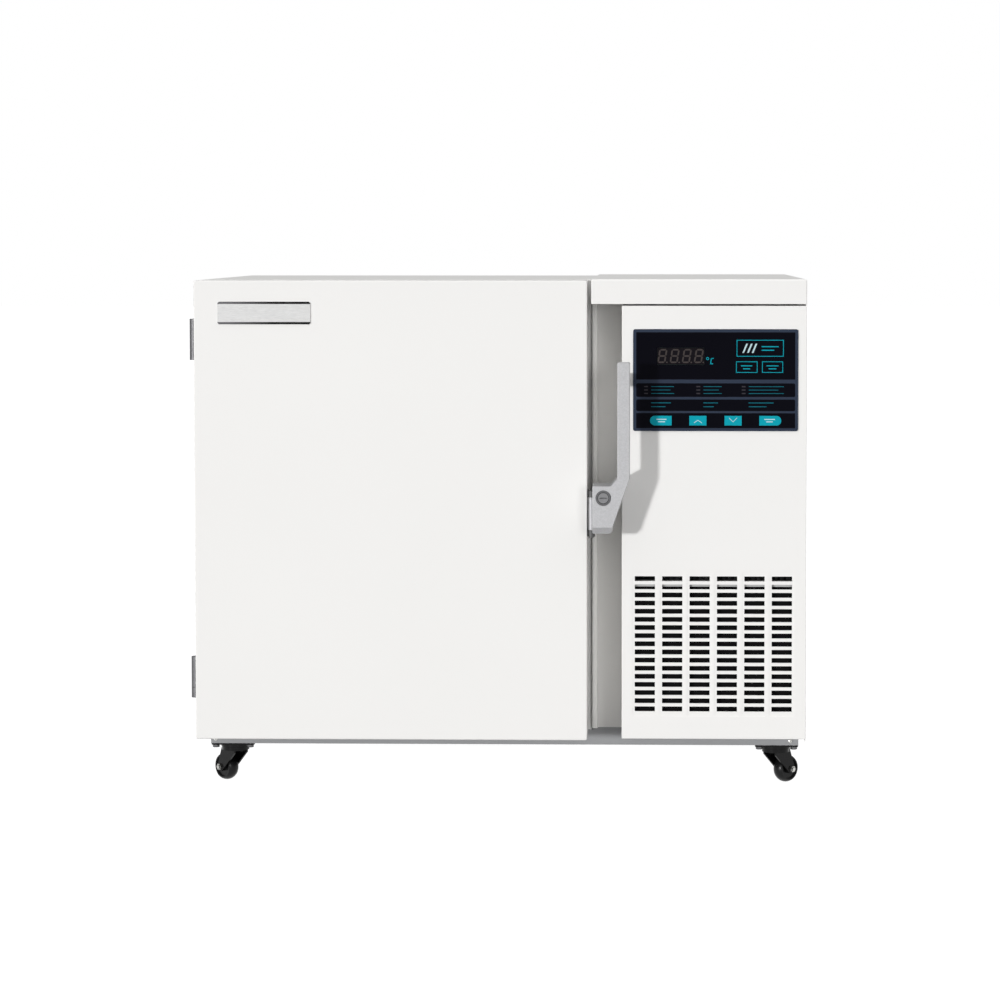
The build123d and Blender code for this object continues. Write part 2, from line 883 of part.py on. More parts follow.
# Door gasket: a closed ring with a base and a rounded bulb
bulb_height = seal_gap - gasket_base - gap_small
bulb_width = gasket_width - 2 * bulb_inset
gasket_rings = (
    (gasket_inset, gasket_width, door_back, gasket_base),
    (gasket_inset + bulb_inset, bulb_width, door_back + gasket_base, bulb_height),
)
with BuildPart() as door_gasket:
    for inset, width, start, depth in gasket_rings:
        ring_width = door_right - left_x - 2 * inset
        ring_height = door_top - door_bottom - 2 * inset
        with BuildSketch(front_plane(start)):
            with Locations(((left_x + door_right) / 2, (door_bottom + door_top) / 2)):
                RectangleRounded(ring_width, ring_height, ring_corner)
                RectangleRounded(
                    ring_width - 2 * width,
                    ring_height - 2 * width,
                    ring_inner_corner,
                    mode=Mode.SUBTRACT,
                )
        extrude(amount=-depth)
    fillet(door_gasket.edges().group_by(Axis.Y)[-1], bulb_round)
save(door_gasket, "door_gasket")

# Nameplate: a bare plate with bevelled long edges and clipped corners
plate_left = left_x + plate_left_offset
plate_bottom = door_top - plate_top_drop - plate_height
with BuildPart() as nameplate:
    with BuildSketch(front_plane(front_y)) as plate_outline:
        spans_rectangle(
            (plate_left, plate_left + plate_width),
            (plate_bottom, plate_bottom + plate_height),
        )
        chamfer(plate_outline.vertices(), plate_clip)
    extrude(amount=plate_thickness)
    long_edges = nameplate.edges().group_by(Axis.Y)[0].filter_by(Axis.X)
    chamfer(long_edges, plate_bevel)
save(nameplate, "nameplate")

# Butt hinges on the left edge: alternate knuckles on one pin
hinge_x = left_x - hinge_offset
hinge_y = seal_y - hinge_axis_inset
hinge_levels = (door_bottom + hinge_low_rise, door_top - hinge_high_drop)


def hinge_leaf(z_low, toward_back, own_knuckles):
    """One leaf: a plate on the side of its carrier and the knuckles that belong to it."""
    direction = 1 if toward_back else -1
    root_y = (seal_y + leaf_edge_gap) if toward_back else (door_back - leaf_edge_gap)
    plate_y = sorted((root_y, root_y + direction * leaf_length))
    height = knuckle_count * knuckle_height
    block((left_x - leaf_sheet, left_x), plate_y, (z_low, z_low + height))
    web_end = (left_x - leaf_sheet / 2, root_y + direction * web_overlap)
    run = (web_end[0] - hinge_x, web_end[1] - hinge_y)
    for index in own_knuckles:
        z = z_low + index * knuckle_height
        turn = degrees(atan2(run[1], run[0]))
        with BuildSketch(Plane.XY.offset(z + gap_small / 2)) as knuckle_plan:
            with Locations((hinge_x, hinge_y)):
                Circle(knuckle_radius)
            with Locations(Location((hinge_x + run[0] / 2, hinge_y + run[1] / 2, 0), (0, 0, turn))):
                Rectangle(hypot(*run), leaf_sheet)
        extrude(knuckle_plan.sketch, amount=knuckle_height - gap_small)


def hinge_bore(radius, z_low, mode):
    """Pin, or the bore for it, over the whole height of a hinge."""
    with BuildSketch(Plane.XY.offset(z_low)) as round_plan:
        with Locations((hinge_x, hinge_y)):
            Circle(radius)
    extrude(round_plan.sketch, amount=knuckle_count * knuckle_height, mode=mode)


with BuildPart() as hinge_door_leaves:
    for z_low in hinge_levels:
        hinge_leaf(z_low, False, (1, 3))
        hinge_bore(hinge_pin_radius + running_clearance, z_low, Mode.SUBTRACT)
save(hinge_door_leaves, "hinge_door_leaves")

with BuildPart() as hinge_cabinet_leaves:
    for z_low in hinge_levels:
        hinge_leaf(z_low, True, (0, 2))
        hinge_bore(hinge_pin_radius, z_low, Mode.ADD)
save(hinge_cabinet_leaves, "hinge_cabinet_leaves")

# Latch lever: one casting whose front outline and side profile cross, with a hollow base and a claw
pivot_x = door_right + pivot_offset
pivot_y = front_y + pivot_depth
lever_front = front_y - lever_reach
lever_rear = front_y - door_face_gap
lever_top = door_top - lever_top_drop
lever_base_bottom = lever_top - lever_height
lever_base_top = lever_base_bottom + lever_base_height
lever_chamfer_top = lever_base_bottom + lever_chamfer_rise
bend_top = lever_base_bottom + bend_rise
claw_bottom = lever_base_bottom + claw_rise
claw_top = claw_bottom + claw_height
base_left_x = door_right + base_left_offset
base_right_x = door_right + base_right_offset
grip_left_x = door_right + grip_left_offset
grip_right_x = grip_left_x + grip_width
bracket_low = lever_base_bottom - bracket_knuckle_height - gap_small
bracket_high = claw_top + bracket_above_claw
bracket_top = bracket_high + bracket_knuckle_height
lever_depth = lever_rear - lever_front
knuckle_span = (lever_base_bottom + gap_small, bracket_high - gap_small)
claw_x = (door_right + claw_offset, door_right + claw_offset + claw_width)
claw_tip_y = front_y + claw_reach
keeper_x = door_right + keeper_offset
keeper_y = front_y + keeper_depth
lip_x = keeper_x + keeper_pin_radius + hook_side_gap
lock_x = door_right + lock_offset
lock_z = lever_base_bottom + lock_rise


def lever_outline():
    """Front outline of the lever: a wide base that leans over to the narrow upright grip."""
    with BuildLine() as outline:
        Polyline(
            (base_left_x, lever_base_bottom),
            (base_left_x, lever_base_top),
            (grip_left_x - grip_lean, lever_base_top),
            (grip_left_x, bend_top),
            (grip_left_x, lever_top),
            (grip_right_x, lever_top),
            (grip_right_x, bend_top),
            (base_right_x + base_lean, lever_chamfer_top),
            (base_right_x, lever_base_bottom),
            close=True,
        )
    make_face(outline.edges())


with BuildPart() as latch_lever:
    with BuildSketch(front_plane(lever_rear)):
        lever_outline()
    extrude(amount=lever_depth)
    bend_edges = latch_lever.edges().filter_by(Axis.Y).filter_by(
        lambda edge: abs(edge.center().X - grip_left_x) < grip_lean + cut_over
        and edge.center().Z < bend_top + cut_over
    )
    fillet(bend_edges, bend_round)
    corner_edges = latch_lever.edges().filter_by(Axis.Y).filter_by(
        lambda edge: edge.center().Z > lever_top - cut_over or edge.center().X < base_left_x + cut_over
    )
    fillet(corner_edges, lever_corner)
    fillet(latch_lever.edges().group_by(Axis.Y)[0], lever_edge_round)
    with BuildSketch(side_plane(base_left_x - cut_over)):
        with BuildLine():
            Polyline(
                (lever_rear + cut_over, lever_base_top + grip_slope_low),
                (lever_rear, lever_base_top + grip_slope_low),
                (lever_front + grip_thickness, lever_base_top + grip_slope_high),
                (lever_front + grip_thickness, lever_top + cut_over),
                (lever_rear + cut_over, lever_top + cut_over),
                close=True,
            )
        make_face()
    extrude(amount=grip_right_x - base_left_x + 2 * cut_over, mode=Mode.SUBTRACT)
    with BuildSketch(side_plane(base_left_x - cut_over)):
        with BuildLine():
            Polyline(
                (lever_front, lever_chamfer_top),
                (lever_front - cut_over, lever_chamfer_top),
                (lever_front - cut_over, lever_base_bottom - cut_over),
                (lever_front + toe_chamfer, lever_base_bottom - cut_over),
                (lever_front + toe_chamfer, lever_base_bottom),
                close=True,
            )
        make_face()
    extrude(amount=grip_right_x - base_left_x + 2 * cut_over, mode=Mode.SUBTRACT)
    with BuildSketch(front_plane(lever_rear)):
        with BuildLine():
            Polyline(
                (base_left_x + lever_wall, lever_base_bottom + lever_wall),
                (base_left_x + lever_wall, lever_base_top - lever_wall),
                (grip_left_x - lever_wall, lever_base_top - lever_wall),
                (base_right_x - lever_wall, lever_chamfer_top),
                (base_right_x - lever_wall, lever_base_bottom + lever_wall),
                close=True,
            )
        make_face()
    extrude(amount=lever_depth - 2 * lever_wall, mode=Mode.SUBTRACT)
    with BuildSketch(front_plane(lever_front)):
        with Locations((lock_x, lock_z)):
            Circle(barrel_radius + barrel_fit)
    extrude(amount=-3 * lever_wall, mode=Mode.SUBTRACT)
    with BuildSketch(Plane.XY.offset(claw_bottom)):
        spans_rectangle(claw_x, (lever_front + lever_wall, claw_tip_y))
        spans_rectangle((lip_x, claw_x[1]), (claw_tip_y - lip_thickness, claw_tip_y))
    extrude(amount=claw_top - claw_bottom)
    with BuildSketch(Plane.XY.offset(knuckle_span[0])):
        with Locations((pivot_x, pivot_y)):
            Circle(pivot_knuckle_radius)
        spans_rectangle((pivot_x, base_left_x + lever_wall), (lever_rear - lever_wall, pivot_y))
    extrude(amount=knuckle_span[1] - knuckle_span[0])
    with BuildSketch(Plane.XY.offset(knuckle_span[0])):
        with Locations((pivot_x, pivot_y)):
            Circle(pivot_pin_radius + running_clearance)
    extrude(amount=knuckle_span[1] - knuckle_span[0], mode=Mode.SUBTRACT)
save(latch_lever, "latch_lever")

# Stop bumper behind the grip, which meets the machine panel
bumper_x = grip_right_x - bumper_width / 2 - bumper_edge_gap
with BuildPart() as lever_bumper:
    with BuildSketch(front_plane(lever_front + grip_thickness)):
        with Locations((bumper_x, lever_top - bumper_drop - bumper_height / 2)):
            RectangleRounded(bumper_width, bumper_height, 3)
    extrude(amount=-(lever_reach - grip_thickness - gap_small), taper=1)
save(lever_bumper, "lever_bumper")

# Lock: bezel with its barrel, fixed in the lever
with BuildPart() as lock_bezel:
    with BuildSketch(front_plane(lever_front)):
        with Locations((lock_x, lock_z)):
            Circle(bezel_radius)
    extrude(amount=bezel_proud)
    chamfer(lock_bezel.edges().group_by(Axis.Y)[0], bezel_proud / 2)
    with BuildSketch(front_plane(lever_front)):
        with Locations((lock_x, lock_z)):
            Circle(barrel_radius)
    extrude(amount=-barrel_length)
    with BuildSketch(front_plane(lever_front - bezel_proud)):
        with Locations((lock_x, lock_z)):
            Circle(plug_radius + running_clearance)
    extrude(amount=-(barrel_length + bezel_proud), mode=Mode.SUBTRACT)
save(lock_bezel, "lock_bezel")

# Lock plug: the core with its keyway and the cam behind it
cam_y = lever_front + barrel_length + gap_small
with BuildPart() as lock_plug:
    with BuildSketch(front_plane(lever_front - bezel_proud / 2)):
        with Locations((lock_x, lock_z)):
            Circle(plug_radius)
    extrude(amount=-(barrel_length + bezel_proud / 2 + gap_small))
    with BuildSketch(front_plane(lever_front - bezel_proud / 2)):
        with Locations((lock_x, lock_z)):
            Rectangle(keyway_length, keyway_width)
    extrude(amount=-keyway_depth, mode=Mode.SUBTRACT)
    with BuildSketch(front_plane(cam_y)):
        with Locations((lock_x, lock_z)):
            Circle(cam_hub_radius)
        with Locations((lock_x, lock_z - cam_length / 2)):
            Rectangle(cam_width, cam_length)
    extrude(amount=-cam_thickness)
save(lock_plug, "lock_plug")

# Latch bracket on the door's right edge: a plate and two knuckles round the pivot pin
bracket_rear = front_y + bracket_depth
bracket_front = pivot_y + pivot_knuckle_radius + door_face_gap
with BuildPart() as latch_bracket:
    block(
        (door_right, door_right + bracket_sheet),
        (bracket_front, bracket_rear),
        (bracket_low, bracket_top),
    )
    for z in (bracket_low, bracket_high):
        with BuildSketch(Plane.XY.offset(z)):
            with Locations((pivot_x, pivot_y)):
                Circle(pivot_knuckle_radius)
            spans_rectangle((door_right, pivot_x), (pivot_y, pivot_y + pivot_knuckle_radius))
            spans_rectangle((door_right, door_right + bracket_sheet), (pivot_y, bracket_front))
        extrude(amount=bracket_knuckle_height)
    with BuildSketch(Plane.XY.offset(bracket_low)):
        with Locations((pivot_x, pivot_y)):
            Circle(pivot_pin_radius)
    extrude(amount=bracket_top - bracket_low, mode=Mode.SUBTRACT)
save(latch_bracket, "latch_bracket")

# Pivot pin of the lever, pressed into the bracket
with BuildPart() as latch_pin:
    with BuildSketch(Plane.XY.offset(bracket_low - pin_head_height)):
        with Locations((pivot_x, pivot_y)):
            Circle(pivot_pin_radius + pin_head_rim)
    extrude(amount=pin_head_height)
    with BuildSketch(Plane.XY.offset(bracket_low)):
        with Locations((pivot_x, pivot_y)):
            Circle(pivot_pin_radius)
    extrude(amount=bracket_top - bracket_low)
save(latch_pin, "latch_pin")

# Keeper on the recess floor: base plate, two ears and the pin between them
ear_low = claw_bottom - ear_gap - ear_thickness
ear_high = claw_top + ear_gap
keeper_left = box_right + rib_width + keeper_rib_gap
keeper_right = keeper_left + keeper_base_width
keeper_base_y = seal_y - keeper_base_sheet
ear_top = ear_high + ear_thickness
with BuildPart() as keeper:
    block(
        (keeper_left, keeper_right),
        (keeper_base_y, seal_y),
        (ear_low - keeper_base_margin, ear_top + keeper_base_margin),
    )
    for z in (ear_low, ear_high):
        with BuildSketch(Plane.XY.offset(z)):
            with Locations((keeper_x, keeper_y)):
                Circle(keeper_pin_radius + ear_rim)
            with BuildLine():
                Polyline(
                    (keeper_x + keeper_pin_radius, keeper_y - keeper_pin_radius),
                    (keeper_right, keeper_base_y - keeper_base_margin),
                    (keeper_right, keeper_base_y),
                    (keeper_left, keeper_base_y),
                    (keeper_x - keeper_pin_radius, keeper_y + keeper_pin_radius),
                    close=True,
                )
            make_face()
        extrude(amount=ear_thickness)
    with BuildSketch(Plane.XY.offset(ear_low)):
        with Locations((keeper_x, keeper_y)):
            Circle(keeper_pin_radius)
    extrude(amount=ear_top - ear_low)
save(keeper, "keeper")

# Keys of the control panel: left and right edge, bottom and top edge, and which end is round
low_level = lifted(low_row, overlay_bottom)
small_level = lifted(small_row, overlay_bottom)
buzzer_level = lifted(buzzer_row, overlay_bottom)
display_level = lifted(display_row, overlay_bottom)
display_x = lifted(display_span, overlay_left)
key_places = {
    "key_buzzer": (lifted(buzzer_span, overlay_left), buzzer_level, "none"),
    "key_small_left": (lifted(small_left_span, overlay_left), small_level, "none"),
    "key_small_right": (lifted(small_right_span, overlay_left), small_level, "none"),
    "key_mode": (lifted(mode_span, overlay_left), low_level, "left"),
    "key_up": (lifted(up_span, overlay_left), low_level, "none"),
    "key_down": (lifted(down_span, overlay_left), low_level, "none"),
    "key_enter": (lifted(enter_span, overlay_left), low_level, "right"),
}


def key_shape(x_span, z_span, round_end, grow, mode=Mode.ADD):
    """Outline of one key, enlarged all round by grow."""
    height = z_span[1] - z_span[0] + 2 * grow
    x_low = x_span[0] - grow
    x_high = x_span[1] + grow
    middle = (z_span[0] + z_span[1]) / 2
    square_low = x_low + (height / 2 if round_end == "left" else 0)
    square_high = x_high - (height / 2 if round_end == "right" else 0)
    with Locations(((square_low + square_high) / 2, middle)):
        Rectangle(square_high - square_low, height, mode=mode)
    if round_end == "left":
        with Locations((square_low, middle)):
            Circle(height / 2, mode=mode)
    if round_end == "right":
        with Locations((square_high, middle)):
            Circle(height / 2, mode=mode)


# Control overlay: a thin front plate with openings for the keys and the display
with BuildPart() as control_overlay:
    with BuildSketch(front_plane(front_y)):
        with Locations(((overlay_left + overlay_right) / 2, (overlay_bottom + overlay_top) / 2)):
            RectangleRounded(overlay_width, overlay_height, overlay_corner)
        for x_span, z_span, round_end in key_places.values():
            key_shape(x_span, z_span, round_end, key_gap, mode=Mode.SUBTRACT)
        spans_rectangle(display_x, display_level, mode=Mode.SUBTRACT)
    extrude(amount=overlay_thickness)
save(control_overlay, "control_overlay")

for key_name, (x_span, z_span, round_end) in key_places.items():
    with BuildPart() as key:
        with BuildSketch(front_plane(front_y - overlay_thickness - key_proud)):
            key_shape(x_span, z_span, round_end, 0)
        extrude(amount=-key_depth)
    save(key, key_name)

# Control board with the display block, a dome under each key and a standoff at each corner
board_y = front_y + board_depth
dome_y = front_y - overlay_thickness - key_proud + key_depth + dome_gap
with BuildPart() as control_board:
    board_x = (window_x[0] - 2 * board_margin, window_x[1] + 2 * board_margin)
    board_z = (window_z[0] - 2 * board_margin, window_z[1] + 2 * board_margin)
    block(board_x, (board_y, board_y + board_sheet), board_z)
    block(
        (display_x[0] + gap_small, display_x[1] - gap_small),
        (front_y - overlay_thickness / 2, board_y),
        (display_level[0] + gap_small, display_level[1] - gap_small),
    )
    with BuildSketch(front_plane(board_y)):
        for x_span, z_span, round_end in key_places.values():
            with Locations(((x_span[0] + x_span[1]) / 2, (z_span[0] + z_span[1]) / 2)):
                Circle(dome_radius)
    extrude(amount=board_y - dome_y)
    with BuildSketch(front_plane(board_y)):
        for x in (board_x[0] + board_margin, board_x[1] - board_margin):
            for z in (board_z[0] + board_margin, board_z[1] - board_margin):
                with Locations((x, z)):
                    Circle(dome_radius)
    extrude(amount=board_y - front_y - sheet)
save(control_board, "control_board")

# Air filter behind the grille: frame with a light top rail and a coarse mesh
filter_x = (panel_left + sheet + filter_side_gap, right_x - 2 * sheet - filter_side_gap)
filter_y = front_y + sheet + filter_front
filter_z = (panel_bottom + sheet, filter_top)
mesh_x = (filter_x[0] + filter_rail, filter_x[1] - filter_rail)
mesh_z = (filter_z[0] + filter_rail, filter_z[1] - filter_rail)
with BuildPart() as air_filter:
    with BuildSketch(front_plane(filter_y)):
        spans_rectangle(filter_x, filter_z)
        spans_rectangle(mesh_x, mesh_z, mode=Mode.SUBTRACT)
    extrude(amount=-filter_depth)
    with BuildSketch(front_plane(filter_y + filter_mesh_setback)):
        spans_rectangle(mesh_x, mesh_z)
    extrude(amount=-filter_mesh)
save(air_filter, "air_filter")

# Condenser: finned block with end plates
condenser_x = (panel_left + sheet + condenser_side_gap, right_x - 2 * sheet - condenser_side_gap)
condenser_y = (front_y + condenser_front, front_y + condenser_front + condenser_depth)
condenser_z = (panel_bottom + sheet, panel_bottom + sheet + condenser_height)
fin_pitch = (condenser_x[1] - condenser_x[0] - condenser_border) / fin_count
with BuildPart() as condenser:
    block(condenser_x, condenser_y, condenser_z)
    with BuildSketch(front_plane(condenser_y[0])):
        with Locations(((condenser_x[0] + condenser_x[1]) / 2, (condenser_z[0] + condenser_z[1]) / 2)):
            with GridLocations(fin_pitch, 1, fin_count, 1):
                Rectangle(fin_pitch * fin_space, condenser_height - condenser_border)
    extrude(amount=-fin_depth, mode=Mode.SUBTRACT)
save(condenser, "condenser")

# Fan shroud behind the condenser, with a round mouth for the fan
fan_x = (condenser_x[0] + condenser_x[1]) / 2
fan_z = (condenser_z[0] + condenser_z[1]) / 2
shroud_back = condenser_y[1] + shroud_depth
with BuildPart() as fan_shroud:
    block(condenser_x, (condenser_y[1], shroud_back), condenser_z)
    block(
        (condenser_x[0] + sheet, condenser_x[1] - sheet),
        (condenser_y[1] - cut_over, shroud_back - sheet),
        (condenser_z[0] + sheet, condenser_z[1] - sheet),
        mode=Mode.SUBTRACT,
    )
    with BuildSketch(front_plane(shroud_back)):
        with Locations((fan_x, fan_z)):
            Circle(fan_radius + fan_gap)
    extrude(amount=2 * sheet, mode=Mode.SUBTRACT)
save(fan_shroud, "fan_shroud")

# Fan motor on three arms that stand on the shroud
motor_y = shroud_back + motor_setback
arm_radius = fan_radius + fan_gap + arm_overreach
foot_radius = arm_radius - arm_foot_radius
with BuildPart() as fan_motor:
    with BuildSketch(front_plane(motor_y)):
        with Locations((fan_x, fan_z)):
            Circle(motor_radius)
    extrude(amount=-motor_length)
    fillet(fan_motor.edges().group_by(Axis.Y)[-1], motor_round)
    for index in range(arm_count):
        angle = radians(90 + 360 * index / arm_count)
        middle = (fan_x + cos(angle) * arm_radius / 2, fan_z + sin(angle) * arm_radius / 2)
        with BuildSketch(front_plane(motor_y)):
            with Locations(Location((middle[0], middle[1], 0), (0, 0, degrees(angle)))):
                Rectangle(arm_radius, arm_width)
        extrude(amount=-arm_sheet)
        foot = (fan_x + cos(angle) * foot_radius, fan_z + sin(angle) * foot_radius)
        with BuildSketch(front_plane(motor_y)):
            with Locations(foot):
                Circle(arm_foot_radius)
        extrude(amount=motor_y - shroud_back)
    with BuildSketch(front_plane(motor_y - cut_over)):
        with Locations((fan_x, fan_z)):
            Circle(shaft_radius + running_clearance)
    extrude(amount=-(shaft_length + cut_over), mode=Mode.SUBTRACT)
save(fan_motor, "fan_motor")

# Fan rotor: hub, five pitched blades and the shaft
hub_front = motor_y - hub_length - hub_gap
blade_root_radius = hub_radius - fan_blade_sink
pitch = radians(fan_blade_pitch)
with BuildPart() as fan_rotor:
    with BuildSketch(front_plane(hub_front + hub_length)):
        with Locations((fan_x, fan_z)):
            Circle(hub_radius)
    extrude(amount=hub_length)
    with BuildSketch(front_plane(motor_y + shaft_length - cut_over)):
        with Locations((fan_x, fan_z)):
            Circle(shaft_radius)
    extrude(amount=motor_y + shaft_length - hub_front - hub_gap)
    for index in range(blade_count):
        angle = radians(360 * index / blade_count)
        root_x = fan_x + cos(angle) * blade_root_radius
        root_z = fan_z + sin(angle) * blade_root_radius
        blade_plane = Plane(
            origin=(root_x, hub_front + hub_length / 2, root_z),
            x_dir=(-sin(angle) * cos(pitch), sin(pitch), cos(angle) * cos(pitch)),
            z_dir=(cos(angle), 0, sin(angle)),
        )
        with BuildSketch(blade_plane):
            Rectangle(fan_blade_root, fan_blade_sheet)
        with BuildSketch(blade_plane.offset(fan_radius - blade_root_radius - cut_over)):
            Rectangle(fan_blade_tip, fan_blade_sheet)
        loft()
save(fan_rotor, "fan_rotor")

# Two hermetic compressors, each on four rubber mounts
compressor_x = (box_right + right_x) / 2
compressor_places = (front_y + compressor_first, front_y + compressor_second)
foot_z = deck_top + mount_height
foot_size = 2 * (foot_half + foot_margin)
shell_z = foot_z + foot_sheet
shell_profile = (
    (0, 0),
    (compressor_radius - 10, 0),
    (compressor_radius, 12),
    (compressor_radius, compressor_height - 38),
    (compressor_radius - 8, compressor_height - 14),
    (compressor_radius - 26, compressor_height),
    (0, compressor_height),
)
with BuildPart() as compressors:
    for y in compressor_places:
        with BuildSketch(Plane.XY.offset(foot_z)):
            with Locations((compressor_x, y)):
                RectangleRounded(foot_size, foot_size, foot_margin)
        extrude(amount=foot_sheet)
        with BuildSketch(Plane(origin=(compressor_x, y, shell_z), x_dir=(1, 0, 0), z_dir=(0, -1, 0))):
            with BuildLine():
                Polyline(*shell_profile, close=True)
            make_face()
        revolve(axis=Axis((compressor_x, y, 0), (0, 0, 1)))
save(compressors, "compressors")

with BuildPart() as compressor_mounts:
    for y in compressor_places:
        with BuildSketch(Plane.XY.offset(deck_top)):
            with Locations((compressor_x, y)):
                with GridLocations(2 * foot_half, 2 * foot_half, 2, 2):
                    Circle(mount_radius)
        extrude(amount=mount_height)
save(compressor_mounts, "compressor_mounts")

# Cascade heat exchanger: an insulated block on the side of the cabinet
exchanger_face = box_right + exchanger_width
exchanger_high = cap_bottom - exchanger_top_drop
exchanger_low = exchanger_high - exchanger_height
exchanger_y = (front_y + exchanger_front, front_y + exchanger_front + exchanger_length)
with BuildPart() as heat_exchanger:
    block((box_right, exchanger_face), exchanger_y, (exchanger_low, exchanger_high))
    fillet(heat_exchanger.edges().filter_by(Axis.Z).group_by(Axis.X)[-1], exchanger_round)
save(heat_exchanger, "heat_exchanger")

# Filter driers: one before the heat exchanger and one after it
drier_one = (right_x - 50, front_y + 200, exchanger_low + 10)
drier_two = (box_right + 45, front_y + 260, 260)
with BuildPart() as filter_driers:
    for x, y, z in (drier_one, drier_two):
        with BuildSketch(Plane.XY.offset(z)):
            with Locations((x, y)):
                Circle(drier_radius)
        extrude(amount=drier_length)
    chamfer(filter_driers.edges().filter_by(GeomType.CIRCLE), drier_chamfer)
save(filter_driers, "filter_driers")

# Electrical box on the right side panel
electrical_high = cap_bottom - electrical_top_drop
with BuildPart() as electrical_box:
    block(
        (right_x - sheet - electrical_width, right_x - sheet),
        (back_y - electrical_front, back_y - electrical_back),
        (electrical_high - electrical_height, electrical_high),
    )
    fillet(electrical_box.edges().filter_by(Axis.Y).group_by(Axis.X)[0], corner_radius)
save(electrical_box, "electrical_box")

# Refrigerant pipes between the vessels, each of round tube with bent corners
compressor_top = shell_z + compressor_height
condenser_mid = (condenser_y[0] + condenser_y[1]) / 2
condenser_top = condenser_z[1]
crossing_z = condenser_top + pipe_rise
first_y, second_y = compressor_places
drier_one_top = drier_one[2] + drier_length
drier_two_top = drier_two[2] + drier_length
pipe_routes = (
    (
        (fan_x - 20, first_y, compressor_top),
        (fan_x - 20, first_y, crossing_z),
        (fan_x - 20, condenser_mid, crossing_z),
        (fan_x - 20, condenser_mid, condenser_top),
    ),
    (
        (drier_one[0], condenser_mid, condenser_top),
        (drier_one[0], condenser_mid, crossing_z),
        (drier_one[0], drier_one[1], crossing_z),
        (drier_one[0], drier_one[1], drier_one[2]),
    ),
    (
        (drier_one[0], drier_one[1], drier_one_top),
        (drier_one[0], drier_one[1], exchanger_high - 60),
        (drier_one[0], exchanger_y[0] + 40, exchanger_high - 60),
        (exchanger_face, exchanger_y[0] + 40, exchanger_high - 60),
    ),
    (
        (exchanger_face, first_y + 30, exchanger_low + 40),
        (compressor_x + 25, first_y + 30, exchanger_low + 40),
        (compressor_x + 25, first_y + 30, compressor_top),
    ),
    (
        (compressor_x - 20, second_y, compressor_top),
        (compressor_x - 20, second_y, exchanger_low + 110),
        (compressor_x - 20, exchanger_y[1] - 30, exchanger_low + 110),
        (exchanger_face, exchanger_y[1] - 30, exchanger_low + 110),
    ),
    (
        (compressor_x + 25, second_y + 10, compressor_top),
        (compressor_x + 25, second_y + 10, 370),
        (box_right, second_y + 10, 370),
    ),
    (
        (drier_two[0], drier_two[1], drier_two[2]),
        (drier_two[0], drier_two[1], 225),
        (box_right, drier_two[1], 225),
    ),
)
with BuildPart() as refrigerant_pipes:
    for route in pipe_routes:
        with BuildLine():
            path = FilletPolyline(*route, radius=pipe_bend)
        with BuildSketch(Plane(origin=path @ 0, z_dir=path % 0)):
            Circle(pipe_radius)
        sweep(path=path)
    with BuildSketch(Plane.XY.offset(drier_two_top)):
        with Locations((drier_two[0], drier_two[1])):
            Circle(pipe_radius)
    extrude(amount=exchanger_low - drier_two_top)
save(refrigerant_pipes, "refrigerant_pipes")

# Swivel casters: centre of each swivel and the direction in which its wheel trails
caster_left_x = base_left + caster_inset
caster_right_x = base_right - caster_inset
caster_front_y = base_front + caster_inset
caster_back_y = base_back - caster_inset
casters = {
    "front_left": (caster_left_x, caster_front_y, 135),
    "front_right": (caster_right_x, caster_front_y, 45),
    "rear_left": (caster_left_x, caster_back_y, 225),
    "rear_right": (caster_right_x, caster_back_y, 315),
}
plate_low = base_bottom - caster_plate_sheet
crown_top = plate_low - collar_height - gap_small
crown_low = crown_top - crown_height
kingpin_low = crown_low - kingpin_end

# Top plates of the casters with their race collars, kingpins and nuts
with BuildPart() as caster_plates:
    for x, y, trail_angle in casters.values():
        with BuildSketch(Plane.XY.offset(plate_low)):
            with Locations((x, y)):
                RectangleRounded(caster_plate, caster_plate, caster_plate_corner)
        extrude(amount=caster_plate_sheet)
        with BuildSketch(Plane.XY.offset(crown_top + gap_small)):
            with Locations((x, y)):
                Circle(collar_radius)
        extrude(amount=collar_height)
        with BuildSketch(Plane.XY.offset(kingpin_low)):
            with Locations((x, y)):
                Circle(kingpin_radius)
        extrude(amount=plate_low - kingpin_low)
        with BuildSketch(Plane.XY.offset(kingpin_low - gap_small)):
            with Locations((x, y)):
                Circle(kingpin_radius + kingpin_rim)
        extrude(amount=kingpin_end)
        with BuildSketch(Plane.XY.offset(plate_low - plate_nut_height)):
            with Locations((x, y)):
                with GridLocations(caster_hole_spacing, caster_hole_spacing, 2, 2):
                    RegularPolygon(bolt_head_radius, 6)
        extrude(amount=plate_nut_height)
save(caster_plates, "caster_plates")


def trail_frame(x, y, trail_angle, z=0):
    """Level frame on a swivel axis whose local X points the way the wheel trails."""
    heading = (cos(radians(trail_angle)), sin(radians(trail_angle)), 0)
    return Plane(origin=(x, y, z), x_dir=heading, z_dir=(0, 0, 1))


def cheek_plane(x, y, trail_angle, side):
    """Upright plane beside the wheel, local X along the trail and local Y up."""
    heading = (cos(radians(trail_angle)), sin(radians(trail_angle)), 0)
    sideways = (sin(radians(trail_angle)), -cos(radians(trail_angle)), 0)
    origin = (x + sideways[0] * side, y + sideways[1] * side, 0)
    return Plane(origin=origin, x_dir=heading, z_dir=sideways)


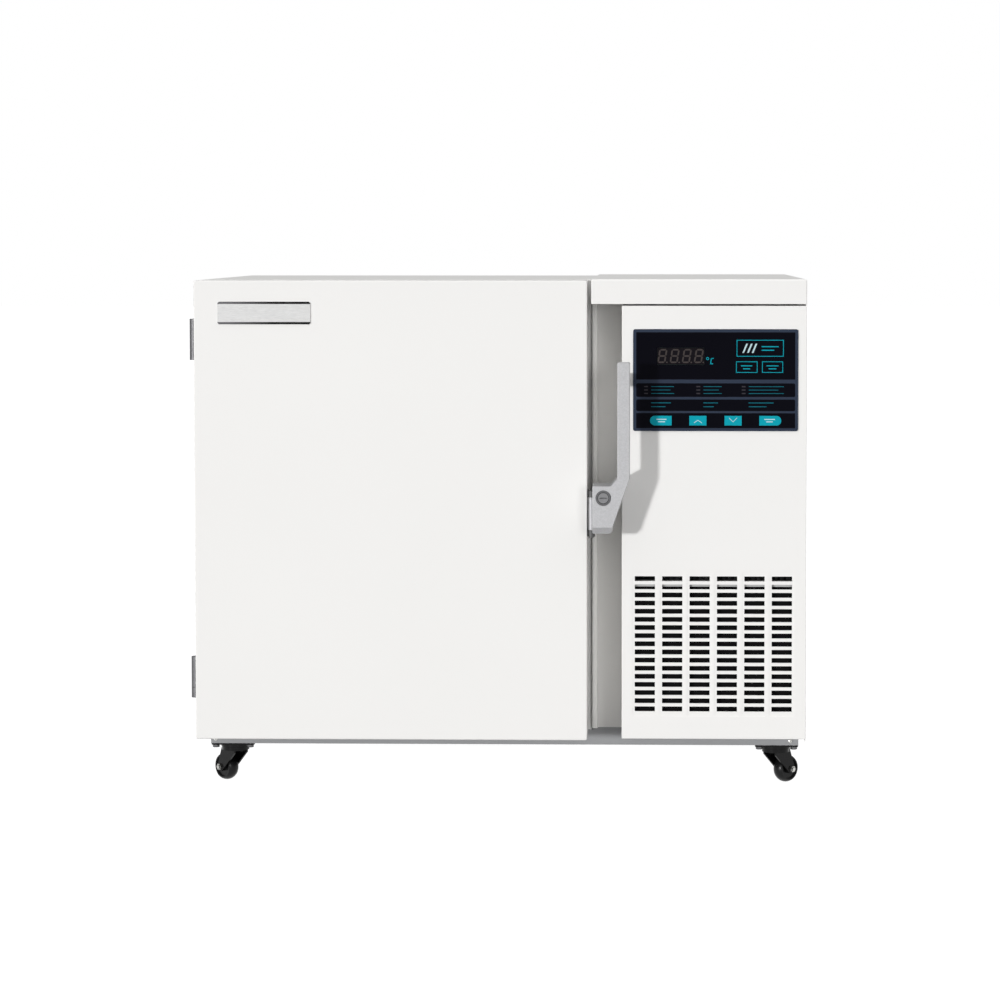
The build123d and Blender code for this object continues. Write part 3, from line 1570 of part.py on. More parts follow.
def build_fork(name, x, y, trail_angle):
    """Fork: a round crown, two tapered cheeks and the axle bolt through them."""
    inner = wheel_width / 2 + fork_side_gap
    half = inner + fork_sheet
    cheek_profile = (
        (-collar_radius + 8, crown_top - 1),
        (collar_radius - 4, crown_top - 1),
        (wheel_trail + 6, wheel_radius + 1),
        (wheel_trail + 4, wheel_radius - 6),
        (wheel_trail - 5, wheel_radius - 5),
        (-collar_radius + 8, crown_low - 4),
    )
    with BuildPart() as fork:
        with BuildSketch(trail_frame(x, y, trail_angle, crown_low)):
            Circle(collar_radius - crown_inset)
        extrude(amount=crown_height)
        for side in (inner, -half):
            with BuildSketch(cheek_plane(x, y, trail_angle, side)):
                with BuildLine():
                    Polyline(*cheek_profile, close=True)
                make_face()
                with Locations((wheel_trail, wheel_radius)):
                    Circle(axle_boss_radius)
            extrude(amount=fork_sheet)
        with BuildSketch(trail_frame(x, y, trail_angle, crown_low)):
            Circle(kingpin_radius + running_clearance)
        extrude(amount=crown_height, mode=Mode.SUBTRACT)
        with BuildSketch(cheek_plane(x, y, trail_angle, -half - axle_end)):
            with Locations((wheel_trail, wheel_radius)):
                Circle(axle_radius)
        extrude(amount=2 * (half + axle_end))
        for side in (half, -half - bolt_head_height):
            with BuildSketch(cheek_plane(x, y, trail_angle, side)):
                with Locations((wheel_trail, wheel_radius)):
                    RegularPolygon(bolt_head_radius, 6)
            extrude(amount=bolt_head_height)
    save(fork, f"caster_fork_{name}")


def build_wheel(name, x, y, trail_angle):
    """Wheel with a rounded tread, a dished web and a hub."""
    half = wheel_width / 2
    web = half - web_recess
    side = half - tread_edge
    bore = wheel_trail + axle_radius + running_clearance
    hub_outer = wheel_trail + hub_radius_wheel
    rim_inner = wheel_trail + rim_radius_inner
    tread = wheel_trail + wheel_radius - tread_drop
    with BuildPart() as wheel:
        with BuildSketch(trail_frame(x, y, trail_angle, wheel_radius)):
            with BuildLine():
                Polyline(
                    (tread, -side),
                    (rim_inner, -side),
                    (rim_inner - 1, -web),
                    (hub_outer + 1, -web),
                    (hub_outer, -half),
                    (bore, -half),
                    (bore, half),
                    (hub_outer, half),
                    (hub_outer + 1, web),
                    (rim_inner - 1, web),
                    (rim_inner, side),
                    (tread, side),
                )
                ThreePointArc(
                    (tread, side),
                    (wheel_trail + wheel_radius, 0),
                    (tread, -side),
                )
            make_face()
        heading = (cos(radians(trail_angle)), sin(radians(trail_angle)))
        hub = (x + heading[0] * wheel_trail, y + heading[1] * wheel_trail, wheel_radius)
        revolve(axis=Axis(hub, (-heading[1], heading[0], 0)))
    save(wheel, f"caster_wheel_{name}")


for caster_name, (x, y, trail_angle) in casters.items():
    build_fork(caster_name, x, y, trail_angle)
    build_wheel(caster_name, x, y, trail_angle)
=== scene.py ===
import math

import bmesh
import bpy
from mathutils import Matrix, Vector


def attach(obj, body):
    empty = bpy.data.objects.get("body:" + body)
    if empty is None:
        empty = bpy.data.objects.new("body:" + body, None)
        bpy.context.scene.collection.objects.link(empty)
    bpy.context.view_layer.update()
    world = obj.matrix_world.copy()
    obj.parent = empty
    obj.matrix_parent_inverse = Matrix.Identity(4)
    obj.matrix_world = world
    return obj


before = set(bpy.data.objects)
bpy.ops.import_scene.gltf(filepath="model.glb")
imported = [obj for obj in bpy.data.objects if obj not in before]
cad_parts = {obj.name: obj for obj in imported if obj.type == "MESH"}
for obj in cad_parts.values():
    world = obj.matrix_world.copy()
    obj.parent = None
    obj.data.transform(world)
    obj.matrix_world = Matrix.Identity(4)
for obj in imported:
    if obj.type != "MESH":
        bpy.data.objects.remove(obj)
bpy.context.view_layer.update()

# Places of the CAD part, in millimetres
MM = 0.001
FRONT = -276.4
LEFT, BACK = -424.0, 323.6
DOOR_RIGHT = 134.0
SEAL = -181.4
PLATE_START, PLATE_LENGTH, PLATE_MIDDLE = -389.7, 131.7, 692
PLATE_PLAIN_HALF = 12.7
RAIL_LOW = 303.5

# Front faces of the overlay, its keys and the display block, and the step of a printed layer
FILM = FRONT - 1.6
KEY_FACE = FILM - 0.3
BLOCK_FACE = FRONT - 0.8
LAYER = 0.04

# Casters: middle and heading of each, bolt spacing, face under the plates, wheel trail and axle height
CASTERS = {
    "front_left": (-385.5, -149.9, 135), "front_right": (407.5, -149.9, 45),
    "rear_left": (-385.5, 287.1, 225), "rear_right": (407.5, 287.1, 315),
}
BOLT_HALF = 25
PLATE_UNDERSIDE = 59.1
TRAIL, AXLE_HEIGHT, AXLE_END = 22, 20, 12.4


def linear(red, green, blue):
    """Linear colour of three sRGB values of 0 to 255."""
    out = []
    for value in (red, green, blue):
        share = value / 255
        out.append(share / 12.92 if share <= 0.04045 else ((share + 0.055) / 1.055) ** 2.4)
    return (*out, 1.0)


class Shade:
    """A material under construction, with short ways to add its nodes."""

    def __init__(self, name, roughness=0.5, metallic=0.0, specular=0.5, coat=0.0, coat_roughness=0.1):
        self.material = bpy.data.materials.new(name)
        self.material.use_nodes = True
        self.tree = self.material.node_tree
        self.shader = self.tree.nodes["Principled BSDF"]
        self.shader.inputs["Roughness"].default_value = roughness
        self.shader.inputs["Metallic"].default_value = metallic
        self.shader.inputs["Specular IOR Level"].default_value = specular
        self.shader.inputs["Coat Weight"].default_value = coat
        self.shader.inputs["Coat Roughness"].default_value = coat_roughness
        self.place = self.node("ShaderNodeTexCoord").outputs["Object"]

    def node(self, kind, **values):
        made = self.tree.nodes.new(kind)
        for key, value in values.items():
            setattr(made, key, value)
        return made

    def link(self, source, target):
        self.tree.links.new(source, target)

    def noise(self, scale, stretch=(1, 1, 1), detail=4.0):
        """Noise over the object's own coordinates, in metres."""
        mapping = self.node("ShaderNodeMapping")
        mapping.inputs["Scale"].default_value = stretch
        self.link(self.place, mapping.inputs["Vector"])
        made = self.node("ShaderNodeTexNoise")
        made.inputs["Scale"].default_value = scale
        made.inputs["Detail"].default_value = detail
        self.link(mapping.outputs["Vector"], made.inputs["Vector"])
        return made.outputs["Fac"]

    def ramp(self, source, stops):
        """Colour ramp through (position, colour) stops."""
        made = self.node("ShaderNodeValToRGB")
        elements = made.color_ramp.elements
        while len(elements) < len(stops):
            elements.new(0.5)
        for element, (position, colour) in zip(elements, stops):
            element.position = position
            element.color = colour
        self.link(source, made.inputs["Fac"])
        return made.outputs["Color"]

    def math(self, operation, first, second=0.0):
        made = self.node("ShaderNodeMath", operation=operation)
        for socket, value in zip(made.inputs, (first, second)):
            if isinstance(value, (int, float)):
                socket.default_value = value
            else:
                self.link(value, socket)
        return made.outputs["Value"]

    def axis(self, name):
        """One of the object's coordinates, X, Y or Z."""
        made = self.node("ShaderNodeSeparateXYZ")
        self.link(self.place, made.inputs["Vector"])
        return made.outputs[name]

    def mix(self, factor, first, second):
        """Mix of two colours, each a socket or a fixed colour."""
        made = self.node("ShaderNodeMix", data_type="RGBA")
        self.link(factor, made.inputs["Factor"])
        for socket, value in ((made.inputs["A"], first), (made.inputs["B"], second)):
            if isinstance(value, tuple):
                socket.default_value = value
            else:
                self.link(value, socket)
        return made.outputs["Result"]

    def colour(self, source):
        self.link(source, self.shader.inputs["Base Color"])

    def roughness(self, source, low, high):
        made = self.node("ShaderNodeMapRange")
        made.inputs["To Min"].default_value = low
        made.inputs["To Max"].default_value = high
        self.link(source, made.inputs["Value"])
        self.link(made.outputs["Result"], self.shader.inputs["Roughness"])

    def bump(self, source, distance, strength=1.0):
        made = self.node("ShaderNodeBump")
        made.inputs["Distance"].default_value = distance
        made.inputs["Strength"].default_value = strength
        self.link(source, made.inputs["Height"])
        self.link(made.outputs["Normal"], self.shader.inputs["Normal"])


def scaled(colour, factor):
    return (colour[0] * factor, colour[1] * factor, colour[2] * factor, 1.0)


def finish_of(name, colour, rough=(0.4, 0.5), spread=0.02, patch=9, grain=1800, depth=0.00002, strength=0.3,
              stretch=(1, 1, 1), **shader_values):
    """General finish: slow tone changes, a fine grain in the bump and a varied roughness."""
    shade = Shade(name, **shader_values)
    slow = shade.noise(patch, detail=2.0)
    fine = shade.noise(grain, stretch)
    shade.colour(shade.ramp(slow, [(0.3, scaled(colour, 1 - spread)), (0.7, scaled(colour, 1 + spread))]))
    shade.roughness(fine, *rough)
    shade.bump(fine, depth, strength)
    return shade.material


WHITE = linear(241, 240, 238)
paint_white = finish_of("paint_white", WHITE, (0.42, 0.5), 0.006, 3, 900, 0.00003, 0.12, coat=0.1)
# Grey paint; on the base frame under the door this grey is painted shade
grey_paint_and_base_shade = finish_of("grey_paint_and_base_shade", linear(154, 155, 157), (0.45, 0.55), 0.015, 6, 900, 0.00003, 0.15)
paint_black = finish_of("paint_black", linear(15, 15, 16), (0.14, 0.24), 0.2, 40, 700, 0.00004, 0.3,
                        specular=0.16)
cast_silver = finish_of("cast_silver", linear(175, 175, 177), (0.48, 0.62), 0.07, 520, 1300, 0.0002, 0.6,
                        metallic=0.6)
rubber_black = finish_of("rubber_black", linear(34, 34, 35), (0.7, 0.85), 0.1, 60, 900, 0.0001, 0.5)
gasket_grey = finish_of("gasket_grey", linear(206, 207, 208), (0.6, 0.75), 0.03, 30, 500, 0.0001, 0.4)
plastic_white = finish_of("plastic_white", linear(236, 237, 236), (0.4, 0.5), 0.01, 8, 1200, 0.00005, 0.3)
plastic_grey = finish_of("plastic_grey", linear(150, 151, 154), (0.45, 0.55), 0.02, 20, 1200, 0.00005, 0.3)
plastic_black = finish_of("plastic_black", linear(20, 20, 21), (0.22, 0.36), 0.1, 40, 900, 0.00005, 0.3,
                          specular=0.2)
steel_brushed = finish_of("steel_brushed", linear(190, 191, 194), (0.26, 0.42), 0.03, 12, 220, 0.00002, 0.35,
                          (1, 1, 14), metallic=1.0)
zinc = finish_of("zinc", linear(198, 198, 194), (0.22, 0.4), 0.12, 120, 900, 0.00004, 0.4, metallic=1.0)
steel_dark = finish_of("steel_dark", linear(98, 98, 100), (0.35, 0.5), 0.06, 80, 900, 0.00005, 0.4,
                       metallic=0.6)
zinc_dull = finish_of("zinc_dull", linear(96, 96, 96), (0.5, 0.65), 0.05, 90, 900, 0.00005, 0.4,
                      metallic=0.5)
plug_grey = finish_of("plug_grey", linear(128, 128, 130), (0.3, 0.42), 0.04, 90, 900, 0.00003, 0.3,
                      metallic=0.6)
copper = finish_of("copper", linear(198, 128, 96), (0.25, 0.45), 0.12, 50, 600, 0.00005, 0.3, metallic=1.0)
foam = finish_of("foam", linear(228, 214, 168), (0.8, 0.95), 0.08, 60, 260, 0.0004, 0.7)
board_green = finish_of("board_green", linear(30, 70, 52), (0.3, 0.5), 0.15, 150, 900, 0.00005, 0.4)
compressor_black = finish_of("compressor_black", linear(30, 30, 31), (0.3, 0.45), 0.1, 30, 500, 0.0001, 0.4)
fins_dark = finish_of("fins_dark", linear(40, 41, 42), (0.45, 0.6), 0.15, 60, 500, 0.0001, 0.4,
                      (1, 1, 6), metallic=0.6)
insulation_black = finish_of("insulation_black", linear(36, 36, 38), (0.75, 0.9), 0.15, 60, 300, 0.0003, 0.6)
film_navy = finish_of("film_navy", linear(44, 53, 70), (0.4, 0.5), 0.03, 20, 2500, 0.00001, 0.3,
                      specular=0.1)
film_black = finish_of("film_black", linear(7, 7, 15), (0.3, 0.4), 0.05, 20, 2500, 0.00001, 0.3,
                       specular=0.03)
film_teal = finish_of("film_teal", linear(0, 158, 176), (0.4, 0.5), 0.03, 40, 2500, 0.00001, 0.3,
                      specular=0.1)
film_teal_dim = finish_of("film_teal_dim", linear(8, 100, 115), (0.4, 0.5), 0.03, 40, 2500, 0.00001, 0.3,
                          specular=0.1)
film_white = finish_of("film_white", linear(190, 216, 222), (0.4, 0.5), 0.02, 40, 2500, 0.00001, 0.2,
                       specular=0.1)
film_unlit = finish_of("film_unlit", linear(50, 48, 54), (0.4, 0.5), 0.04, 60, 2500, 0.00001, 0.2,
                       specular=0.1)
window_black = finish_of("window_black", linear(20, 17, 22), (0.2, 0.3), 0.05, 20, 2500, 0.00001, 0.2,
                         specular=0.05)
segment_dark = finish_of("segment_dark", linear(64, 58, 57), (0.3, 0.4), 0.04, 60, 2500, 0.00001, 0.2,
                         specular=0.1)
# Near black that stands for painted shade in the screws' cross recesses and in the gap round the lock plug
painted_recess_shade = finish_of("painted_recess_shade", linear(24, 24, 25), (0.6, 0.7), 0.1, 60, 900, 0.00003, 0.3)


def two_tone(name, axis, threshold, below, above, rough, specular=0.5):
    """Finish with one colour up to a place along an axis and another beyond it."""
    shade = Shade(name, specular=specular)
    grain = shade.noise(900)
    beyond = shade.math("GREATER_THAN", shade.axis(axis), threshold * MM)
    slow = shade.noise(5, detail=2.0)
    tone = shade.ramp(slow, [(0.3, scaled(above, 0.99)), (0.7, scaled(above, 1.01))])
    shade.colour(shade.mix(beyond, below, tone))
    shade.roughness(grain, *rough)
    shade.bump(grain, 0.00003, 0.15)
    return shade.material


filter_grey = two_tone("filter_grey", "Z", RAIL_LOW, linear(6, 6, 7), linear(190, 190, 190), (0.7, 0.85), 0.1)


def plate_finish():
    """Bare brushed plate with painted shade on the bevels along its top and bottom edge, darker towards the
    right end.
    """
    shade = Shade("plate_brushed", metallic=0.7)
    grain = shade.noise(160, (1, 1, 40))
    face = shade.ramp(grain, [(0.25, linear(188, 188, 188)), (0.75, linear(222, 222, 221))])
    # Painted shade on the top and bottom bevels, from dark grey at the left end to near black at the right
    off_middle = shade.math("ABSOLUTE", shade.math("SUBTRACT", shade.axis("Z"), PLATE_MIDDLE * MM))
    bevel_mask = shade.math("GREATER_THAN", off_middle, PLATE_PLAIN_HALF * MM)
    from_start = shade.math("SUBTRACT", shade.axis("X"), PLATE_START * MM)
    along = shade.math("DIVIDE", from_start, PLATE_LENGTH * MM)
    painted_bevel_shade = shade.ramp(along, [(0.1, linear(104, 104, 106)), (0.6, linear(7, 7, 8))])
    shade.colour(shade.mix(bevel_mask, face, painted_bevel_shade))
    shade.roughness(grain, 0.3, 0.45)
    shade.bump(grain, 0.00002, 0.4)
    return shade.material


plate_brushed = plate_finish()

FINISHES = {
    "cabinet_shell": paint_white, "cabinet_liner": steel_brushed, "cabinet_insulation": foam,
    "breaker_frame": plastic_white, "evaporator_coil": copper, "shelf": steel_brushed,
    # The base frame takes the grey as painted shade under the door
    "access_port_plug": plastic_grey, "base_frame": grey_paint_and_base_shade, "top_cap": paint_white,
    "front_panel": paint_white, "right_side_panel": paint_white, "recess_plate": paint_white,
    "back_panel": grey_paint_and_base_shade, "mains_inlet": plastic_black, "hinge_cabinet_leaves": steel_dark,
    "keeper": zinc, "control_overlay": film_navy, "control_board": board_green, "air_filter": filter_grey,
    "condenser": fins_dark, "fan_shroud": grey_paint_and_base_shade, "fan_motor": compressor_black,
    "compressors": compressor_black, "compressor_mounts": rubber_black, "heat_exchanger": insulation_black,
    "filter_driers": copper, "electrical_box": plastic_grey, "refrigerant_pipes": copper,
    "caster_plates": paint_black, "door_skin": paint_white, "door_inner_panel": plastic_white,
    "door_foam": foam, "door_gasket": gasket_grey, "nameplate": plate_brushed,
    "hinge_door_leaves": steel_dark, "latch_bracket": zinc_dull, "latch_pin": zinc_dull,
    "latch_lever": cast_silver,
    "lever_bumper": rubber_black, "lock_bezel": steel_dark, "lock_plug": plug_grey,
    "inner_door_upper": plastic_white, "inner_door_lower": plastic_white, "fan_rotor": plastic_black,
    "power_rocker": plastic_black, "key_buzzer": film_black, "key_small_left": film_black,
    "key_small_right": film_black, "key_mode": film_teal, "key_up": film_teal, "key_down": film_teal,
    "key_enter": film_teal,
}
for node_name, node_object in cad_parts.items():
    chosen = FINISHES.get(node_name)
    if node_name.startswith("caster_fork"):
        chosen = paint_black
    if node_name.startswith("caster_wheel"):
        chosen = plastic_black
    for slot_index in range(len(node_object.material_slots)):
        node_object.material_slots[slot_index].material = chosen


def piece(name, mesh_builder, material, body):
    """New object from a bmesh in millimetres, riding on a body."""
    shape = bmesh.new()
    mesh_builder(shape)
    bmesh.ops.scale(shape, vec=(MM, MM, MM), verts=shape.verts)
    mesh = bpy.data.meshes.new(name)
    shape.to_mesh(mesh)
    shape.free()
    made = bpy.data.objects.new(name, mesh)
    bpy.context.scene.collection.objects.link(made)
    mesh.materials.append(material)
    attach(made, body)
    return made


def printed(name, outlines, y, material, body):
    """Flat printed marks on a face that looks to the front. Each outline is a list of (x, z)."""

    def build(shape):
        for outline in outlines:
            area = sum(a[0] * b[1] - b[0] * a[1] for a, b in zip(outline, outline[1:] + outline[:1]))
            ordered = outline if area > 0 else outline[::-1]
            shape.faces.new([shape.verts.new((x, y, z)) for x, z in ordered])

    return piece(name, build, material, body)


def rect(x0, x1, z0, z1):
    return [(x0, z0), (x1, z0), (x1, z1), (x0, z1)]


def rounded(x0, x1, z0, z1, radius, steps=5):
    """Rectangle with round corners as one outline."""
    out = []
    for cx, cz, start in ((x1 - radius, z1 - radius, 0), (x0 + radius, z1 - radius, 90),
                          (x0 + radius, z0 + radius, 180), (x1 - radius, z0 + radius, 270)):
        for step in range(steps + 1):
            angle = math.radians(start + 90 * step / steps)
            out.append((cx + radius * math.cos(angle), cz + radius * math.sin(angle)))
    return out


def border(x0, x1, z0, z1, width):
    """Four bars round a rectangle."""
    return [rect(x0, x1, z0, z0 + width), rect(x0, x1, z1 - width, z1),
            rect(x0, x0 + width, z0 + width, z1 - width), rect(x1 - width, x1, z0 + width, z1 - width)]


def ring(cx, cz, inner, outer, steps=20):
    """Ring of four-sided outlines."""
    angles = [2 * math.pi * step / steps for step in range(steps + 1)]
    spots = [(math.cos(angle), math.sin(angle)) for angle in angles]
    return [[(cx + inner * a[0], cz + inner * a[1]), (cx + outer * a[0], cz + outer * a[1]),
             (cx + outer * b[0], cz + outer * b[1]), (cx + inner * b[0], cz + inner * b[1])]
            for a, b in zip(spots, spots[1:])]


def slanted(x, z, width, height, lean):
    """Bar that leans to the right by lean over its height."""
    return [(x, z), (x + width, z), (x + width + lean, z + height), (x + lean, z + height)]


# Fields of the control overlay, its low keys and the free gap round each key
KEY_GAP = 0.15
KEY_ROW = (533.3, 547.3)
KEY_SPANS = ((222.9, 253.3), (278.3, 302.5), (328.0, 352.1), (377.1, 408.1))
field_x = (203.3, 427.6)
field_rows = ((598.4, 665.1), (573.8, 593.1), (553.9, 570.2), (529.6, 550.9))
fields = [rounded(*field_x, low, high, 2.2) for low, high in field_rows]
holes = {
    "window": (232.9, 299.3, 619.1, 643.5), "buzzer": (344.2, 411.9, 630.2, 655.2),
    "left": (343.5, 375.0, 607.4, 624.8), "right": (380.1, 411.1, 607.4, 624.8),
}


def field_one():
    """The large field, cut into bars round the window and the keys so that none is covered."""
    x0, x1 = field_x
    z0, z1 = field_rows[0]
    window, buzzer, left, right = (holes[key] for key in ("window", "buzzer", "left", "right"))
    return [
        rect(x0, window[0], z0, z1),
        rect(window[0], window[1], z0, window[2]),
        rect(window[0], window[1], window[3], z1),
        rect(window[1], left[0] - KEY_GAP, z0, z1),
        rect(left[0] - KEY_GAP, buzzer[1] + KEY_GAP, buzzer[3] + KEY_GAP, z1),
        rect(left[0] - KEY_GAP, buzzer[0] - KEY_GAP, buzzer[2] - KEY_GAP, buzzer[3] + KEY_GAP),
        rect(left[0] - KEY_GAP, buzzer[1] + KEY_GAP, left[3] + KEY_GAP, buzzer[2] - KEY_GAP),
        rect(left[1] + KEY_GAP, right[0] - KEY_GAP, z0, left[3] + KEY_GAP),
        rect(left[0] - KEY_GAP, left[1] + KEY_GAP, z0, left[2] - KEY_GAP),
        rect(right[0] - KEY_GAP, buzzer[1] + KEY_GAP, z0, left[2] - KEY_GAP),
        rect(right[1] + KEY_GAP, buzzer[1] + KEY_GAP, left[2] - KEY_GAP, left[3] + KEY_GAP),
        rect(buzzer[1] + KEY_GAP, x1, z0, z1),
    ]


def field_four():
    """The bottom field, cut round the four keys."""
    x0, x1 = field_x
    z0, z1 = field_rows[3]
    out = [rect(x0, x1, z0, KEY_ROW[0]), rect(x0, x1, KEY_ROW[1], z1)]
    edges = [x0] + [value for low, high in KEY_SPANS for value in (low - KEY_GAP, high + KEY_GAP)] + [x1]
    for start, end in zip(edges[0::2], edges[1::2]):
        out.append(rect(start, end, *KEY_ROW))
    radius, middle = 6.95, 540.3
    for side, centre in ((-1, 222.75 + radius), (1, 408.25 - radius)):
        for upper in (-1, 1):
            corner = [(centre + side * radius, middle + upper * radius)]
            for step in range(9):
                angle = math.radians(90 * step / 8)
                x = centre + side * radius * math.sin(angle)
                corner.append((x, middle + upper * radius * math.cos(angle)))
            out.append(corner)
    return out


printed("overlay_fields", field_one() + fields[1:3] + field_four(), FILM - LAYER, film_black, "cabinet")

# Marks and label bars of the overlay, in place of words
lamp_marks = []
word_bars = []
for z in (588.4, 583.6, 578.7):
    for x, length in ((214.4, 34), (288.3, 27), (352.2, 52)):
        lamp_marks.append(rect(x, x + 5.4, z - 0.9, z + 0.9))
        word_bars.append(rect(x + 10, x + 10 + length * (0.8 if z == 583.6 else 0.95), z - 0.45, z + 0.45))
for z, share in ((565.4, 1.0), (560.0, 0.72)):
    for x, length in ((224.4, 28), (298.2, 20.6), (362.1, 35)):
        word_bars.append(rect(x, x + length * share, z - 0.6, z + 0.6))
unit_mark = ring(304.0, 628.0, 1.25, 2.1, 14) + [
    slanted(307.4, 620.0, 1.3, 9.0, 1.4),
    slanted(308.9, 627.7, 3.6, 1.3, 0.2),
    slanted(308.0, 620.0, 3.6, 1.3, 0.2),
]
printed("overlay_lamps", lamp_marks, FILM - 2 * LAYER, film_unlit, "cabinet")
printed("overlay_words", word_bars, FILM - 2 * LAYER, film_teal_dim, "cabinet")
printed("overlay_unit", unit_mark, FILM - 2 * LAYER, film_teal, "cabinet")


def segment_digit(cx, cz, width, height):
    """Seven segments of one leaning digit, with its point."""
    bar, gap, lean = 2.3, 0.35, 0.16
    x0, x1, z0, z1 = cx - width / 2, cx + width / 2, cz - height / 2, cz + height / 2

    def skew(points):
        return [(x + (z - cz) * lean, z) for x, z in points]

    out = []
    for z in (z0, cz - bar / 2, z1 - bar):
        middle = z + bar / 2
        out.append(skew([
            (x0 + gap + bar / 2, middle), (x0 + gap + bar, z), (x1 - gap - bar, z),
            (x1 - gap - bar / 2, middle), (x1 - gap - bar, z + bar), (x0 + gap + bar, z + bar),
        ]))
    for x in (x0, x1 - bar):
        for low, high in ((z0 + bar / 2 + gap, cz - gap), (cz + gap, z1 - bar / 2 - gap)):
            middle = x + bar / 2
            out.append(skew([
                (middle, low), (x + bar, low + bar / 2), (x + bar, high - bar / 2),
                (middle, high), (x, high - bar / 2), (x, low + bar / 2),
            ]))
    out.append(skew(rounded(x1 + 0.9, x1 + 3.1, z0 - 0.1, z0 + 2.1, 1.0)))
    return out


digit_marks = []
for centre_x in (240.8, 258.1, 275.2, 292.2):
    digit_marks += segment_digit(centre_x - 0.6, 631.6, 11.6, 20.0)
window_x0, window_x1, window_z0, window_z1 = holes["window"]
glass = rect(window_x0 + 0.35, window_x1 - 0.35, window_z0 + 0.35, window_z1 - 0.35)
shown_marks = [[(min(x, window_x1 - 0.4), z) for x, z in outline] for outline in digit_marks]
printed("display_window", [glass], BLOCK_FACE - LAYER, window_black, "cabinet")
printed("display_segments", shown_marks, BLOCK_FACE - 2 * LAYER, segment_dark, "cabinet")


def chevron(cx, cz, half, rise, width):
    """Chevron of two leaning bars; a negative rise points down."""
    top = cz + rise / 2
    low = cz - rise / 2
    return [
        [(cx - half, low), (cx, top - width), (cx, top), (cx - half, low + width)],
        [(cx, top - width), (cx + half, low), (cx + half, low + width), (cx, top)],
    ]


# Marks on the keys: outline bars and word bars in teal, signs and word bars in white
OUTLINE = 0.9
key_marks = {
    "buzzer_outline": ("key_buzzer_cap", film_teal, border(344.9, 411.2, 630.9, 654.5, OUTLINE) + [
        rect(380, 404, 644.2, 645.6), rect(380, 398, 639.2, 640.6)]),
    "buzzer_strokes": ("key_buzzer_cap", film_white, [
        slanted(353.0 + 6.6 * i, 636.2, 2.4, 13.0, 5.4) for i in range(3)]),
    "small_left_outline": ("key_small_left_cap", film_teal, border(344.2, 374.3, 608.1, 624.1, OUTLINE) + [
        rect(351, 367, 617.2, 618.5), rect(354, 364, 613.0, 614.3)]),
    "small_right_outline": ("key_small_right_cap", film_teal, border(380.8, 410.4, 608.1, 624.1, OUTLINE) + [
        rect(387, 404, 617.2, 618.5), rect(390, 401, 613.0, 614.3)]),
    "mode_mark": ("key_mode_cap", film_white, [rect(232, 246, 541.4, 542.8), rect(234, 244, 538.0, 539.4)]),
    "enter_mark": ("key_enter_cap", film_white, [rect(384, 399, 541.4, 542.8), rect(387, 396, 538.0, 539.4)]),
    "up_mark": ("key_up_cap", film_white, chevron(290.4, 539.0, 5.6, 4.6, 1.0)),
    "down_mark": ("key_down_cap", film_white, chevron(340.0, 541.4, 5.6, -4.6, 1.0)),
}
for mark_name, (cap, film, outlines) in key_marks.items():
    printed(mark_name, outlines, KEY_FACE - LAYER, film, cap)


def frame_at(origin, outward):
    """Matrix that puts local +Z along outward at origin."""
    turn = Vector(outward).to_track_quat("Z", "Y").to_matrix().to_4x4()
    return Matrix.Translation(Vector(origin)) @ turn


def lathe(shape, profile, matrix, segments):
    """Closed solid of revolution from (radius, height) points, placed by matrix."""
    loops = []
    for radius, height in profile:
        loop = []
        for step in range(segments):
            angle = 2 * math.pi * step / segments
            spot = Vector((radius * math.cos(angle), radius * math.sin(angle), height))
            loop.append(shape.verts.new(matrix @ spot))
        loops.append(loop)
    for lower, upper in zip(loops, loops[1:]):
        for step in range(segments):
            after = (step + 1) % segments
            shape.faces.new((lower[step], lower[after], upper[after], upper[step]))
    shape.faces.new(loops[0][::-1])
    shape.faces.new(loops[-1])


def screws(name, places, radius, body):
    """Zinc pan-head screws at (origin, outward) places, in one piece, and painted shade in their cross
    recesses in another.
    """
    top = 0.56 * radius
    profile = ((radius, 0.0), (radius, 0.25 * radius), (0.85 * radius, 0.45 * radius), (0.5 * radius, top))

    def heads(shape):
        for origin, outward in places:
            lathe(shape, profile, frame_at(origin, outward), 20)

    # Painted shade: flat near-black crosses just over each head where the cross recess lies
    def cross_shade(shape):
        for origin, outward in places:
            matrix = frame_at(origin, outward)
            for half_x, half_y in ((0.48 * radius, 0.1 * radius), (0.1 * radius, 0.48 * radius)):
                corners = [(-half_x, -half_y), (half_x, -half_y), (half_x, half_y), (-half_x, half_y)]
                shape.faces.new([shape.verts.new(matrix @ Vector((x, y, top + 0.02))) for x, y in corners])

    piece(name, heads, zinc, body)
    piece(name + "_cross_shade", cross_shade, painted_recess_shade, body)


TO_LEFT, TO_RIGHT, TO_FRONT, TO_BACK = (-1, 0, 0), (1, 0, 0), (0, -1, 0), (0, 1, 0)
leaf_x = LEFT - 2.5
leaf_rows = [base + offset for base in (130, 621.5) for offset in (12, 48)]
cabinet_leaf_y = SEAL + 2.5 + 17
door_leaf_y = SEAL - 11 - 2.5 - 17
screws("base_screws", [((x, SEAL, 68.1), TO_FRONT) for x in (427.1, -410.0)], 3.0, "cabinet")
screws("hinge_screws_cabinet", [((leaf_x, cabinet_leaf_y, z), TO_LEFT) for z in leaf_rows], 3.2, "cabinet")
screws("hinge_screws_door", [((leaf_x, door_leaf_y, z), TO_LEFT) for z in leaf_rows], 3.2, "door")
back_places = [((x, BACK, z), TO_BACK) for x in (148, 436) for z in (95, 300, 500, 696)]
screws("back_screws", back_places, 3.0, "cabinet")
bracket_places = [((DOOR_RIGHT + 2, FRONT + 25, z), TO_RIGHT) for z in (386, 408, 430)]
screws("bracket_screws", bracket_places, 2.2, "door")
screws("keeper_screws", [((163.5, SEAL - 3, z), TO_FRONT) for z in (387.6, 428.4)], 1.8, "cabinet")

